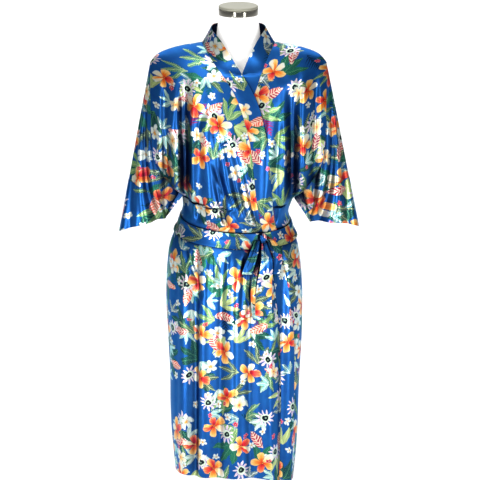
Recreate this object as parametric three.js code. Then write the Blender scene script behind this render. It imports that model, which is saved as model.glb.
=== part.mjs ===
// A calf-length wrap kimono robe of printed satin, tied with its own sash and shown on a limbless dress form
// with a metal neck cap, a pole and a round base.
// Millimetres, +Z up, +X to the viewer's right, -Y to the front.
// The origin is on the floor, under the neck of the form.
//
// The cloth is cut as a back, two fronts, two sleeves with wide cuffs, one long neckband and a sash.
// Every body piece is read from one draped surface, which is named by an angle round the body (0 in front,
// positive to the viewer's right) and a level (its height, apart from the dip that the sash gives it).

import * as THREE from "three";
import { mergeVertices } from "three/addons/utils/BufferGeometryUtils.js";

// Driving sizes
const hemLevel = 200;
const sashLevel = 930;
const underarmLevel = 1015;
const shoulderPointLevel = 1406;
const neckPointLevel = 1465;
const neckPointX = 104;
const backNeckDepth = 68;
const clothThickness = 1.2;
const bandThickness = 1.8;
const seamGap = 0.4;
const wrapLift = 4;
const underDrop = 3.5;
const sashWidth = 44;
const sashThickness = 1.8;
const ribbonThickness = 1.4;
const sashLift = 4.4;
const sashDip = 24;
const sashDipAngle = rad(20);
const hemDrop = 34;
const ribbonCurl = 1.2;
const shoulderRound = 120;
const formBottom = 700;
const neckTop = 1546;
const capHeight = 20;
const capDome = 3;
const capRadius = 57;
const baseRadius = 170;
const baseThickness = 14;
const poleRadius = 13;

// The body's rings: the middle, half width, front and back depth of the cloth at each level, and its roundness.
// From the underarm up they take in the hanging sleeves.
const bodyRings = [
  { level: 200, middle: -13, half: 171, front: 116, back: 108, round: 0.92 },
  { level: 307, middle: -12, half: 182, front: 122, back: 114, round: 0.93 },
  { level: 396, middle: -12, half: 186, front: 125, back: 118, round: 0.94 },
  { level: 515, middle: -10, half: 189, front: 128, back: 123, round: 0.96 },
  { level: 605, middle: -10, half: 194, front: 131, back: 128, round: 0.98 },
  { level: 694, middle: -12, half: 197, front: 133, back: 133, round: 1 },
  { level: 783, middle: -12, half: 195, front: 132, back: 137, round: 1 },
  { level: 843, middle: -12, half: 190, front: 128, back: 135, round: 1 },
  { level: 873, middle: -11, half: 184, front: 124, back: 131, round: 1 },
  { level: 908, middle: -9, half: 172, front: 117, back: 122, round: 1 },
  { level: 930, middle: -8, half: 162, front: 111, back: 116, round: 1 },
  { level: 952, middle: -8, half: 158, front: 114, back: 115, round: 1 },
  { level: 977, middle: -8, half: 153, front: 124, back: 118, round: 1 },
  { level: 1015, middle: -4, half: 160, front: 131, back: 118, round: 1 },
  { level: 1050, middle: -2, half: 200, front: 130, back: 116, round: 1.05 },
  { level: 1100, middle: 0, half: 256, front: 128, back: 115, round: 1.15 },
  { level: 1150, middle: 0, half: 306, front: 128, back: 114, round: 1.2 },
  { level: 1230, middle: 0, half: 293, front: 129, back: 114, round: 1.2 },
  { level: 1300, middle: 0, half: 281, front: 122, back: 116, round: 1.15 },
  { level: 1350, middle: 0, half: 270, front: 110, back: 114, round: 1.1 },
  { level: 1406, middle: 0, half: 257, front: 92, back: 106, round: 1 },
  { level: 1500, middle: 0, half: 257, front: 78, back: 94, round: 1 },
];

// Where the armhole seam stands out to each side
const armholes = [
  { level: 1015, x: 160 },
  { level: 1050, x: 191 },
  { level: 1100, x: 228 },
  { level: 1150, x: 244 },
  { level: 1210, x: 250 },
  { level: 1406, x: 253 },
];

// The height of the shoulder seam. Inside the neck point it is the line that the fronts would rise to.
const shoulderLine = [
  { x: 0, level: 1492 },
  { x: 60, level: 1478 },
  { x: 80, level: 1471 },
  { x: 104, level: 1465 },
  { x: 161, level: 1456 },
  { x: 204, level: 1444 },
  { x: 230, level: 1432 },
  { x: 243, level: 1420 },
  { x: 254, level: 1405 },
];

// The seams that join each front to the neckband, and how wide the band shows round the ring there
const frontSeams = [
  { level: 200, over: 122, under: -124, span: 48 },
  { level: 424, over: 127, under: -128, span: 48 },
  { level: 573, over: 124, under: -122, span: 48 },
  { level: 722, over: 110, under: -108, span: 48 },
  { level: 873, over: 88, under: -82, span: 48 },
  { level: 930, over: 76, under: -66, span: 48 },
  { level: 975, over: 66, under: -56, span: 48 },
  { level: 1047, over: 53, under: -38, span: 48 },
  { level: 1122, over: 44, under: -22, span: 48 },
  { level: 1170, over: 38, under: -8, span: 49 },
  { level: 1217, over: 30, under: 4, span: 51 },
  { level: 1254, over: 20, under: 15, span: 53 },
  { level: 1300, over: 6, under: 30, span: 54 },
  { level: 1345, over: -15, under: 48, span: 55 },
  { level: 1388, over: -45, under: 64, span: 57 },
  { level: 1416, over: -68, under: 76, span: 57 },
  { level: 1440, over: -86, under: 88, span: 57 },
  { level: 1465, over: -104, under: 104, span: 57 },
];

// The free edge of the neckband where it leaves the chest and stands round the neck.
// share runs along the band's seam from the crossing of the fronts to the middle of the back.
const overNeckEdge = [
  { share: 0, x: 12, y: -95, z: 1388 },
  { share: 0.18, x: -20, y: -86, z: 1437 },
  { share: 0.36, x: -53, y: -58, z: 1484 },
  { share: 0.47, x: -71, y: -30, z: 1500 },
  { share: 0.55, x: -79, y: -2, z: 1507 },
  { share: 0.7, x: -72, y: 30, z: 1512 },
  { share: 0.85, x: -42, y: 54, z: 1513 },
  { share: 1, x: 0, y: 62, z: 1513 },
];
const underNeckEdge = [
  { share: 0, x: 9, y: -92, z: 1388 },
  { share: 0.18, x: 30, y: -84, z: 1436 },
  { share: 0.36, x: 56, y: -56, z: 1482 },
  { share: 0.47, x: 71, y: -30, z: 1500 },
  { share: 0.55, x: 79, y: -2, z: 1507 },
  { share: 0.7, x: 72, y: 30, z: 1512 },
  { share: 0.85, x: 42, y: 54, z: 1513 },
  { share: 1, x: 0, y: 62, z: 1513 },
];

// The largest folds of each face: where a fold starts and ends, its half width, and how far it stands out at
// each end. A trough has a negative height.
const frontFolds = [
  { x0: -152, level0: 1290, x1: -151, level1: 1000, half: 32, height0: 0, height1: -26 },
  { x0: -180, level0: 1370, x1: -180, level1: 1010, half: 22, height0: 2, height1: 12 },
  { x0: -208, level0: 1370, x1: -203, level1: 1030, half: 20, height0: -3, height1: -12 },
  { x0: -229, level0: 1385, x1: -226, level1: 1080, half: 18, height0: 2, height1: 8 },
  { x0: -118, level0: 1270, x1: -108, level1: 965, half: 20, height0: -2, height1: -8 },
  { x0: -94, level0: 1300, x1: -76, level1: 965, half: 24, height0: 3, height1: 8 },
  { x0: -72, level0: 1240, x1: -36, level1: 965, half: 20, height0: -2, height1: -7 },
  { x0: -62, level0: 1200, x1: -8, level1: 965, half: 22, height0: 3, height1: 7 },
  { x0: 2, level0: 1110, x1: 22, level1: 965, half: 18, height0: -2, height1: -7 },
  { x0: 36, level0: 1100, x1: 50, level1: 965, half: 20, height0: 3, height1: 6 },
  { x0: 84, level0: 1290, x1: 80, level1: 965, half: 22, height0: 3, height1: 5 },
  { x0: 120, level0: 1280, x1: 112, level1: 965, half: 20, height0: -5, height1: -9 },
  { x0: 154, level0: 1310, x1: 152, level1: 1000, half: 33, height0: 0, height1: -25 },
  { x0: 188, level0: 1390, x1: 184, level1: 1010, half: 24, height0: 7, height1: 12 },
  { x0: 222, level0: 1385, x1: 215, level1: 1040, half: 20, height0: -6, height1: -12 },
  { x0: -160, level0: 905, x1: -104, level1: 765, half: 17, height0: -7, height1: -3 },
  { x0: -152, level0: 850, x1: -150, level1: 520, half: 24, height0: 5, height1: 3 },
  { x0: -92, level0: 890, x1: -98, level1: 330, half: 30, height0: 6, height1: 6 },
  { x0: -50, level0: 890, x1: -58, level1: 240, half: 28, height0: -6, height1: -6 },
  { x0: -10, level0: 885, x1: -14, level1: 420, half: 28, height0: 7, height1: 5 },
  { x0: 34, level0: 885, x1: 36, level1: 250, half: 28, height0: -6, height1: -6 },
  { x0: 84, level0: 885, x1: 84, level1: 380, half: 28, height0: 5, height1: 6 },
  { x0: 128, level0: 880, x1: 122, level1: 260, half: 20, height0: -4, height1: -4 },
];
const backFolds = [
  { x0: -151, level0: 1290, x1: -150, level1: 1000, half: 28, height0: 0, height1: -28 },
  { x0: -182, level0: 1370, x1: -180, level1: 1010, half: 24, height0: 3, height1: 11 },
  { x0: -214, level0: 1370, x1: -208, level1: 1030, half: 20, height0: -3, height1: -10 },
  { x0: -105, level0: 1220, x1: -92, level1: 965, half: 24, height0: 2, height1: 8 },
  { x0: -58, level0: 1180, x1: -50, level1: 965, half: 22, height0: -2, height1: -7 },
  { x0: -8, level0: 1160, x1: -6, level1: 965, half: 24, height0: 2, height1: 8 },
  { x0: 42, level0: 1190, x1: 38, level1: 965, half: 22, height0: -2, height1: -7 },
  { x0: 92, level0: 1230, x1: 84, level1: 965, half: 24, height0: 2, height1: 8 },
  { x0: 151, level0: 1290, x1: 150, level1: 1000, half: 28, height0: 0, height1: -28 },
  { x0: 184, level0: 1370, x1: 180, level1: 1010, half: 24, height0: 3, height1: 11 },
  { x0: 216, level0: 1370, x1: 210, level1: 1030, half: 20, height0: -3, height1: -10 },
  { x0: -128, level0: 885, x1: -134, level1: 330, half: 28, height0: 5, height1: 6 },
  { x0: -80, level0: 885, x1: -86, level1: 250, half: 26, height0: -6, height1: -7 },
  { x0: -34, level0: 885, x1: -38, level1: 320, half: 28, height0: 6, height1: 7 },
  { x0: 12, level0: 885, x1: 12, level1: 250, half: 26, height0: -6, height1: -7 },
  { x0: 58, level0: 885, x1: 62, level1: 320, half: 28, height0: 6, height1: 7 },
  { x0: 104, level0: 885, x1: 112, level1: 250, half: 26, height0: -6, height1: -6 },
];

// The folds of a sleeve, at the armhole and at the opening. turn goes round the sleeve: from the outer fold (0)
// down the front to the underarm (0.5) and back up behind (1).
const sleeveFolds = [
  { turn0: 0.1, turn1: 0.38, half: 0.08, height0: -5, height1: -10 },
  { turn0: 0.03, turn1: 0.28, half: 0.07, height0: 2, height1: 6 },
  { turn0: 0.2, turn1: 0.47, half: 0.06, height0: 2, height1: 6 },
  { turn0: 0.02, turn1: 0.14, half: 0.08, height0: 0, height1: -5 },
  { turn0: 0.88, turn1: 0.64, half: 0.075, height0: -4, height1: -10 },
  { turn0: 0.95, turn1: 0.75, half: 0.07, height0: 2, height1: 6 },
  { turn0: 0.97, turn1: 0.88, half: 0.07, height0: 0, height1: -5 },
];

// The rings of the dress form's torso and neck
const formRings = [
  { z: 700, half: 146, front: 96, back: 108, corner: 2.25 },
  { z: 730, half: 156, front: 103, back: 117, corner: 2.25 },
  { z: 790, half: 163, front: 107, back: 124, corner: 2.25 },
  { z: 850, half: 160, front: 101, back: 122, corner: 2.25 },
  { z: 910, half: 144, front: 92, back: 109, corner: 2.25 },
  { z: 960, half: 129, front: 91, back: 96, corner: 2.25 },
  { z: 1020, half: 119, front: 94, back: 87, corner: 2.25 },
  { z: 1080, half: 122, front: 100, back: 84, corner: 2.25 },
  { z: 1150, half: 134, front: 110, back: 90, corner: 2.25 },
  { z: 1220, half: 147, front: 119, back: 98, corner: 2.25 },
  { z: 1270, half: 154, front: 114, back: 103, corner: 2.25 },
  { z: 1320, half: 164, front: 97, back: 103, corner: 2.25 },
  { z: 1370, half: 180, front: 80, back: 94, corner: 2.25 },
  { z: 1400, half: 190, front: 68, back: 82, corner: 2.2 },
  { z: 1422, half: 193, front: 59, back: 69, corner: 2 },
  { z: 1439.7, half: 185, front: 53, back: 60, corner: 1.8 },
  { z: 1448.7, half: 171, front: 52, back: 56, corner: 1.55 },
  { z: 1453.7, half: 151, front: 51, back: 54, corner: 1.35 },
  { z: 1458.7, half: 119, front: 51, back: 54, corner: 1.3 },
  { z: 1463.2, half: 95, front: 51, back: 54, corner: 1.45 },
  { z: 1470, half: 79, front: 51, back: 54, corner: 1.8 },
  { z: 1485, half: 65, front: 51, back: 53, corner: 2 },
  { z: 1510, half: 58, front: 52, back: 53, corner: 2 },
  { z: 1546, half: 56, front: 54, back: 54, corner: 2 },
];

// The opening of the left and right sleeves: the middle and half width, its depth and how it slants
const sleeveEnds = {
  left: { side: -1, x: 278, half: 66, depth: 46, low: 909, slant: 38, arch: 10 },
  right: { side: 1, x: 278, half: 70, depth: 46, low: 922, slant: 14, arch: 16 },
};
const cuffShare = 0.7;

// The sash's loops and tails: the way each ribbon goes from the knot, given by x, z and the distance that it
// stands off the front, with its width there
const knot = { x: 66, z: 915, off: 12.2, wide: 11, high: 14, deep: 8 };
const ribbons = {
  sash_loop_left: [
    { x: 51, z: 908, off: 16, width: 14 },
    { x: 42, z: 886, off: 20, width: 22 },
    { x: 33, z: 858, off: 21, width: 26 },
    { x: 25, z: 830, off: 19, width: 28 },
    { x: 22, z: 814, off: 14, width: 28 },
    { x: 25, z: 824, off: 9, width: 28 },
    { x: 33, z: 852, off: 9, width: 26 },
    { x: 42, z: 878, off: 11, width: 20 },
    { x: 50, z: 896, off: 12.5, width: 14 },
  ],
  sash_loop_right: [
    { x: 77, z: 919, off: 15.5, width: 8 },
    { x: 88, z: 899, off: 20, width: 26 },
    { x: 91, z: 880, off: 22.5, width: 34 },
    { x: 90, z: 852, off: 23.5, width: 38 },
    { x: 86, z: 830, off: 22, width: 38 },
    { x: 83, z: 815, off: 16.5, width: 36 },
    { x: 84, z: 824, off: 11.5, width: 34 },
    { x: 87, z: 852, off: 10.5, width: 28 },
    { x: 88, z: 880, off: 11, width: 20 },
    { x: 85, z: 905, off: 12, width: 8 },
  ],
  sash_tail_front: [
    { x: 67, z: 901, off: 20.3, width: 14 },
    { x: 67, z: 880, off: 25.5, width: 24 },
    { x: 67, z: 852, off: 30, width: 32 },
    { x: 66, z: 822, off: 29, width: 38 },
    { x: 65, z: 792, off: 23, width: 42 },
    { x: 65, z: 758, off: 18, width: 45 },
    { x: 65, z: 724, off: 16, width: 47 },
    { x: 65, z: 692, off: 14, width: 48 },
  ],
  sash_tail_back: [
    { x: 63, z: 898, off: 10.5, width: 12 },
    { x: 61, z: 882, off: 10, width: 14 },
    { x: 58, z: 862, off: 7.5, width: 18 },
    { x: 55, z: 832, off: 6.5, width: 22 },
    { x: 50, z: 796, off: 6.5, width: 26 },
    { x: 47, z: 756, off: 7, width: 28 },
    { x: 50, z: 714, off: 6.5, width: 30 },
    { x: 54, z: 677, off: 6.5, width: 30 },
  ],
};

// Small numeric helpers

function rad(degrees) {
  return (degrees * Math.PI) / 180;
}

function mix(a, b, share) {
  return a + (b - a) * share;
}

function clamp01(value) {
  return Math.min(1, Math.max(0, value));
}

function smooth(value) {
  const t = clamp01(value);
  return t * t * (3 - 2 * t);
}

// The rounded cross section of a fold, 1 on its line and 0 at its sides (-1 and 1)
function hump(across) {
  return Math.cos((across * Math.PI) / 2) ** 2;
}

function steps(count, from = 0, to = 1) {
  return Array.from({ length: count + 1 }, (_, i) => mix(from, to, i / count));
}

// A smooth curve through one column of a table, with no overshoot between its rows
function curve(table, along, column) {
  const at = table.map((row) => row[along]);
  const value = table.map((row) => row[column]);
  const last = at.length - 1;
  const slope = (i) => (value[i + 1] - value[i]) / (at[i + 1] - at[i]);
  const tangent = at.map((_, i) => {
    if (i === 0) return slope(0);
    if (i === last) return slope(last - 1);
    const before = slope(i - 1);
    const after = slope(i);
    return before * after <= 0 ? 0 : (2 * before * after) / (before + after);
  });
  return (position) => {
    const p = Math.min(at[last], Math.max(at[0], position));
    let i = 0;
    while (i < last - 1 && p > at[i + 1]) i += 1;
    const step = at[i + 1] - at[i];
    const t = (p - at[i]) / step;
    const start = value[i] * (1 + 2 * t) * (1 - t) ** 2 + tangent[i] * step * t * (1 - t) ** 2;
    const end = value[i + 1] * (3 - 2 * t) * t ** 2 - tangent[i + 1] * step * (1 - t) * t ** 2;
    return start + end;
  };
}

function curves(table, along) {
  const columns = Object.keys(table[0]).filter((key) => key !== along);
  return Object.fromEntries(columns.map((key) => [key, curve(table, along, key)]));
}

const body = curves(bodyRings, "level");
const armholeX = curve(armholes, "level", "x");
const shoulderLevel = curve(shoulderLine, "x", "level");
const seams = curves(frontSeams, "level");
const form = curves(formRings, "z");

// The draped surface

function foldHeight(folds, x, level) {
  let height = 0;
  for (const fold of folds) {
    const along = (fold.level0 - level) / (fold.level0 - fold.level1);
    const fade = smooth((along + 0.12) / 0.3) * smooth((1.16 - along) / 0.2);
    const across = (x - mix(fold.x0, fold.x1, clamp01(along))) / fold.half;
    if (fade > 0 && Math.abs(across) < 1)
      height += mix(fold.height0, fold.height1, clamp01(along)) * fade * hump(across);
  }
  const clearOfSash = smooth((Math.abs(level - sashLevel) - sashWidth / 2 - 6) / 32);
  return height * clearOfSash;
}

// How much of the depth is reached at a drop below the shoulder
function shoulderShare(drop) {
  const t = 1 - clamp01(drop / shoulderRound);
  return Math.sqrt(1 - t * t);
}

// The drop below the shoulder at which the back reaches the neck opening's edge
function backNeckDrop(x, level) {
  if (Math.abs(x) >= neckPointX) return 0;
  const edge = backNeckDepth * Math.sqrt(1 - (x / neckPointX) ** 2);
  const across = clamp01(1 - (x / body.half(level)) ** 2);
  const reach = Math.min(0.98, edge / (body.back(level) * Math.sqrt(across) ** body.round(level)));
  return shoulderRound * (1 - Math.sqrt(1 - reach * reach));
}

function bodyPoint(angle, level, lift = 0) {
  const inFront = Math.cos(angle) >= 0;
  const across = Math.sin(angle);
  const x = body.middle(level) + body.half(level) * across;
  const towards = inFront ? -1 : 1;
  const depth = inFront ? body.front(level) : body.back(level);
  const top = inFront ? shoulderLevel(Math.abs(x)) : Math.min(neckPointLevel, shoulderLevel(Math.abs(x)));
  const drop = top - level + (inFront ? 0 : backNeckDrop(x, level));
  const share = shoulderShare(drop);
  const fold = foldHeight(inFront ? frontFolds : backFolds, x, level) + lift;
  const sideways = fold * across * smooth((1000 - level) / 120);
  const forward = depth * Math.abs(Math.cos(angle)) ** body.round(level) * share;
  return new THREE.Vector3(
    x + sideways,
    towards * (forward + fold * Math.min(1, Math.abs(Math.cos(angle)) * 1.6) * share),
    level - dipAt(angle, level),
  );
}

// How far the sash pulls a level down, and the level that stands at a height of the front
function dipAt(angle, level) {
  const share = smooth((level - 560) / 330) * smooth((1180 - level) / 190);
  const right = Math.max(0, Math.sin(angle)) ** 2;
  return sashDip * Math.cos(angle - sashDipAngle) * share + hemDrop * smooth((600 - level) / 400) * smooth(right);
}

function levelAtHeight(x, z) {
  let level = z;
  for (let i = 0; i < 4; i += 1) level = z + dipAt(angleAt(x, level), level);
  return level;
}

function angleAt(x, level) {
  const across = Math.min(1, Math.max(-1, (x - body.middle(level)) / body.half(level)));
  return Math.asin(across);
}

// The half angle at which a panel stops at its side seam
function sideAngle(level) {
  return Math.PI / 2 - seamGap / body.front(level);
}

// How far the wrapped front stands off the one below: nothing at its side seam and at the shoulder
function overLift(angle, level) {
  const x = body.middle(level) + body.half(level) * Math.sin(angle);
  const edge = level > underarmLevel ? armholeX(level) : body.half(level) - body.middle(level);
  const reach = mix(20, 60, smooth((level - 980) / 120));
  return wrapLift * smooth((x + edge) / reach) * smooth((neckPointLevel - level) / 60);
}

// How far the front below sinks where the wrapped one covers it
function underLift(angle, level) {
  const cover = body.middle(level) + body.half(level) * Math.sin(angle);
  const covered = smooth((seams.over(level) + seams.span(level) + 2 - cover) / 22);
  return -underDrop * covered * smooth((neckPointLevel - level) / 60);
}

// Walls and solids

// A wall of the given thickness under a grid of cells, which run left to right and upwards, seen from outside.
// Each cell has its point and the way out of the cloth there. closed joins the last column to the first.
function wall(rows, thickness, closed = false) {
  const high = rows.length;
  const wide = rows[0].length;
  const outer = rows.flat().map((cell) => cell.point);
  const inner = rows.flat().map((cell) => cell.point.clone().addScaledVector(cell.out, -thickness));
  const count = high * wide;
  const positions = [...outer, ...inner].flatMap((p) => [p.x, p.y, p.z]);
  const index = [];
  const quad = (a, b, c, d) => index.push(a, b, c, a, c, d);
  const id = (r, c) => r * wide + (c % wide);
  const lastColumn = closed ? wide : wide - 1;
  for (let r = 0; r < high - 1; r += 1)
    for (let c = 0; c < lastColumn; c += 1) {
      quad(id(r, c), id(r, c + 1), id(r + 1, c + 1), id(r + 1, c));
      quad(count + id(r, c), count + id(r + 1, c), count + id(r + 1, c + 1), count + id(r, c + 1));
    }
  for (let c = 0; c < lastColumn; c += 1) {
    quad(id(0, c), count + id(0, c), count + id(0, c + 1), id(0, c + 1));
    quad(id(high - 1, c), id(high - 1, c + 1), count + id(high - 1, c + 1), count + id(high - 1, c));
  }
  if (!closed)
    for (let r = 0; r < high - 1; r += 1) {
      quad(id(r, 0), id(r + 1, 0), count + id(r + 1, 0), count + id(r, 0));
      quad(id(r, wide - 1), count + id(r, wide - 1), count + id(r + 1, wide - 1), id(r + 1, wide - 1));
    }
  return indexed(positions, index);
}

// The cells of a grid of points, with the way out taken from each point's neighbours
function gridCells(rows) {
  const at = (r, c) => {
    const row = rows[Math.min(rows.length - 1, Math.max(0, r))];
    return row[Math.min(row.length - 1, Math.max(0, c))];
  };
  return rows.map((row, r) =>
    row.map((point, c) => {
      const across = at(r, c + 1).clone().sub(at(r, c - 1));
      const up = at(r + 1, c).clone().sub(at(r - 1, c));
      return { point, out: across.cross(up).normalize() };
    }),
  );
}

// The cell of a surface at (a, b), where a runs to the right and b upwards as seen from outside
function surfaceCell(surface, a, b, stepA, stepB) {
  const across = surface(a + stepA, b).sub(surface(a - stepA, b));
  const up = surface(a, b + stepB).sub(surface(a, b - stepB));
  return { point: surface(a, b), out: across.cross(up).normalize() };
}

// A solid through closed rings, which run anticlockwise from above and rise, with flat ends
function loft(rings) {
  const wide = rings[0].length;
  const points = rings.flat();
  const index = [];
  for (let r = 0; r < rings.length - 1; r += 1)
    for (let c = 0; c < wide; c += 1) {
      const next = (c + 1) % wide;
      const [a, b] = [r * wide + c, r * wide + next];
      index.push(a, b, b + wide, a, b + wide, a + wide);
    }
  const middle = (ring) => ring.reduce((sum, p) => sum.add(p), new THREE.Vector3()).divideScalar(wide);
  const top = (rings.length - 1) * wide;
  points.push(middle(rings[0]), middle(rings[rings.length - 1]));
  for (let c = 0; c < wide; c += 1) {
    const next = (c + 1) % wide;
    index.push(points.length - 2, next, c, points.length - 1, top + c, top + next);
  }
  return indexed(points.flatMap((p) => [p.x, p.y, p.z]), index);
}

function indexed(positions, index) {
  const geometry = new THREE.BufferGeometry();
  geometry.setAttribute("position", new THREE.Float32BufferAttribute(positions, 3));
  geometry.setIndex(index);
  geometry.computeVertexNormals();
  return geometry;
}

// A turned solid about the Z axis from a profile of radius and height
function turned(profile, sides) {
  const points = profile.map(([radius, height]) => new THREE.Vector2(radius, height));
  const geometry = new THREE.LatheGeometry(points, sides).rotateX(Math.PI / 2);
  geometry.deleteAttribute("normal");
  geometry.deleteAttribute("uv");
  const merged = mergeVertices(geometry, 1e-4);
  merged.computeVertexNormals();
  return merged;
}

// The cut pieces

const lowerLevels = [
  ...steps(8, hemLevel, 720),
  ...steps(3, 720, 880).slice(1),
  900, 915, sashLevel, 945, 960, 978, 997, underarmLevel,
];
const upperSteps = 11;

// How far up from the underarm each upper row lies, closer together towards the shoulder
const upperShares = steps(upperSteps).map((v) => 1 - (1 - v) ** 1.6);

// A cell of the drape whose thickness keeps to the planes of the seams that it borders
function drapeCell(angle, level, lift, alongY, alongX) {
  const cell = surfaceCell((a, l) => bodyPoint(a, l, lift(a, l)), angle, level, 0.02, 2);
  if (alongY) cell.out.y = 0;
  if (alongX) cell.out.x = 0;
  cell.out.normalize();
  return cell;
}

// A front: from its outer edge (the side seam and armhole) to its seam with the neckband
function frontRows(side, columns, seamX, lift) {
  const rows = [];
  const spread = (share) => 1 - (1 - share) ** 1.12;
  const ordered = (cells) => (side < 0 ? cells : cells.reverse());
  for (const level of lowerLevels) {
    const outer = side * sideAngle(level);
    const inner = angleAt(seamX(level), level);
    const cellAt = (u) => drapeCell(mix(outer, inner, spread(u)), level, lift, u === 0, false);
    rows.push(ordered(steps(columns).map(cellAt)));
  }
  for (const share of upperShares.slice(1)) {
    const outerLevel = mix(underarmLevel, shoulderPointLevel, share);
    const innerLevel = mix(underarmLevel, neckPointLevel, share);
    const outerX = side * (armholeX(outerLevel) - seamGap);
    const innerX = seamX(innerLevel);
    const cellAt = (u) => {
      const x = mix(outerX, innerX, u);
      const topX = mix(armholeX(shoulderPointLevel) - seamGap, neckPointX, u);
      const seamRise = shoulderLevel(topX) - mix(shoulderPointLevel, neckPointLevel, u);
      const level = mix(outerLevel, innerLevel, u) + seamRise * clamp01(share * 2 - 1) ** 3;
      const cell = drapeCell(angleAt(x, level), level, lift, share === 1, u === 0);
      return share === 1 ? offSeam(cell, -1) : cell;
    };
    rows.push(ordered(steps(columns).map(cellAt)));
  }
  return rows;
}

// Keeps a shoulder seam's edge half a gap off the shoulder line
function offSeam(cell, towards) {
  cell.point.y = towards * Math.max(seamGap, Math.abs(cell.point.y));
  return cell;
}

function backRows(columns) {
  const rows = [];
  for (const level of lowerLevels) {
    const edge = sideAngle(level);
    const cellAt = (angle, c) => drapeCell(angle, level, noLift, c === 0 || c === columns, false);
    rows.push(steps(columns, Math.PI - edge, Math.PI + edge).map(cellAt));
  }
  for (const share of upperShares.slice(1)) {
    const outerLevel = mix(underarmLevel, shoulderPointLevel, share);
    const cellAt = (u) => {
      const x = u * (armholeX(outerLevel) - seamGap);
      const top = Math.min(neckPointLevel, shoulderLevel(Math.abs(x)));
      const level = mix(underarmLevel, top, share);
      const onShoulder = share === 1 && Math.abs(x) > neckPointX;
      const cell = drapeCell(Math.PI - angleAt(x, level), level, noLift, onShoulder, Math.abs(u) === 1);
      return onShoulder ? offSeam(cell, 1) : cell;
    };
    rows.push(steps(columns, 1, -1).map(cellAt));
  }
  return rows;
}

function noLift() {
  return 0;
}

// The sleeves. turn goes round a sleeve: 0 and 1 are the shoulder and the outer fold, 0.5 is the underarm.
const sleeveTurns = upperSteps * 2;

function armholeLevel(turn) {
  const place = Math.abs(1 - 2 * turn) * upperSteps;
  const below = Math.min(upperSteps - 1, Math.floor(place));
  const share = mix(upperShares[below], upperShares[below + 1], place - below);
  return mix(underarmLevel, shoulderPointLevel, share);
}

function armholePoint(side, turn) {
  const level = armholeLevel(turn);
  const across = Math.abs(angleAt(side * armholeX(level), level));
  const angle = turn <= 0.5 ? across : Math.PI - across;
  const point = bodyPoint(side * angle, level);
  point.x = side * (armholeX(level) + seamGap + 3 * smooth((underarmLevel + 100 - level) / 60));
  return point;
}

function sleeveEndPoint(end, turn) {
  const angle = turn * 2 * Math.PI;
  const rise = (1 - Math.cos(angle)) / 2;
  return new THREE.Vector3(
    end.side * (end.x + end.half * Math.cos(angle)),
    -end.depth * Math.sin(angle),
    end.low + end.slant * rise + end.arch * Math.abs(Math.sin(angle)),
  );
}

function sleevePoint(end, turn, share, grow) {
  const point = armholePoint(end.side, turn).lerp(sleeveEndPoint(end, turn), share);
  const angle = turn * 2 * Math.PI;
  let height = 0;
  for (const fold of sleeveFolds) {
    const across = (turn - mix(fold.turn0, fold.turn1, share)) / fold.half;
    if (Math.abs(across) < 1)
      height += mix(fold.height0, fold.height1, share) * smooth(share / 0.3) * hump(across);
  }
  point.x += end.side * (0.4 * height + grow) * Math.cos(angle);
  point.y -= (height + grow) * Math.sin(angle);
  return point;
}

function sleeveRows(end, from, to, rowCount, grow = 0) {
  return steps(rowCount, to, from).map((share) => {
    const ring = steps(sleeveTurns).slice(0, sleeveTurns).map((turn) => {
      const surface = (t, v) => sleevePoint(end, (t + 1) % 1, v, grow);
      const cell = surfaceCell(surface, turn, share, -end.side * 0.03, -0.012);
      if (share === 0) cell.out.setX(0).normalize();
      return cell;
    });
    return end.side < 0 ? ring : ring.reverse();
  });
}

// The neckband runs from the hem of the wrapped front, round the neck, to the hem of the front below
const bandColumns = 3;
const crossingLevel = 1388;
const bandGap = 1.2;

function bandFrontStation(side, level) {
  const lift = side < 0 ? overLift : underLift;
  const seam = angleAt(side < 0 ? seams.over(level) : seams.under(level), level);
  const depth = body.front(level);
  const reach = Math.hypot(body.half(level) * Math.cos(seam), depth * Math.sin(seam));
  const away = side < 0 ? 1 : -1;
  return steps(bandColumns, bandGap / seams.span(level), 1).map((w) => {
    const angle = seam + (away * w * seams.span(level)) / reach;
    return drapeCell(angle, level, lift, false, false);
  });
}

// share goes from the crossing of the fronts (0) over the neck point (0.5) to the middle of the back (1)
function bandNeckStation(side, share, edge) {
  let seam;
  if (share <= 0.5) {
    const level = mix(crossingLevel, neckPointLevel, share * 2);
    const angle = angleAt(side < 0 ? seams.over(level) : seams.under(level), level);
    seam = drapeCell(angle, level, side < 0 ? overLift : underLift, false, false);
  } else {
    const angle = rad(180) * (1 - share);
    const x = side * neckPointX * Math.sin(angle);
    seam = { point: new THREE.Vector3(x, backNeckDepth * Math.cos(angle), neckPointLevel) };
  }
  const free = new THREE.Vector3(edge.x(share), edge.y(share), edge.z(share));
  const along = seam.point.distanceTo(free);
  return steps(bandColumns, bandGap / along, 1).map((w, c) => ({
    point: seam.point.clone().lerp(free, w),
    out: c === 0 ? seam.out : undefined,
  }));
}

function bandCells() {
  const levels = [...lowerLevels, ...upperShares.slice(1).map((v) => mix(underarmLevel, neckPointLevel, v))];
  const half = (side, table) => {
    const edge = curves(table, "share");
    const low = levels.filter((level) => level < crossingLevel);
    const front = low.map((level) => bandFrontStation(side, level));
    const neck = levels
      .filter((level) => level >= crossingLevel)
      .map((level) => (0.5 * (level - crossingLevel)) / (neckPointLevel - crossingLevel));
    const nape = steps(6, 0.5, 1).slice(1);
    return [...front, ...[...neck, ...nape].map((share) => bandNeckStation(side, share, edge))];
  };
  const over = half(-1, overNeckEdge);
  const under = half(1, underNeckEdge);
  const stations = [...over, ...under.slice(0, -1).reverse()];
  const cells = gridCells(stations.map((row) => row.map((cell) => cell.point)));
  return cells.map((row, r) => row.map((cell, c) => ({ ...cell, out: stations[r][c].out ?? cell.out })));
}

// The sash

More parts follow.
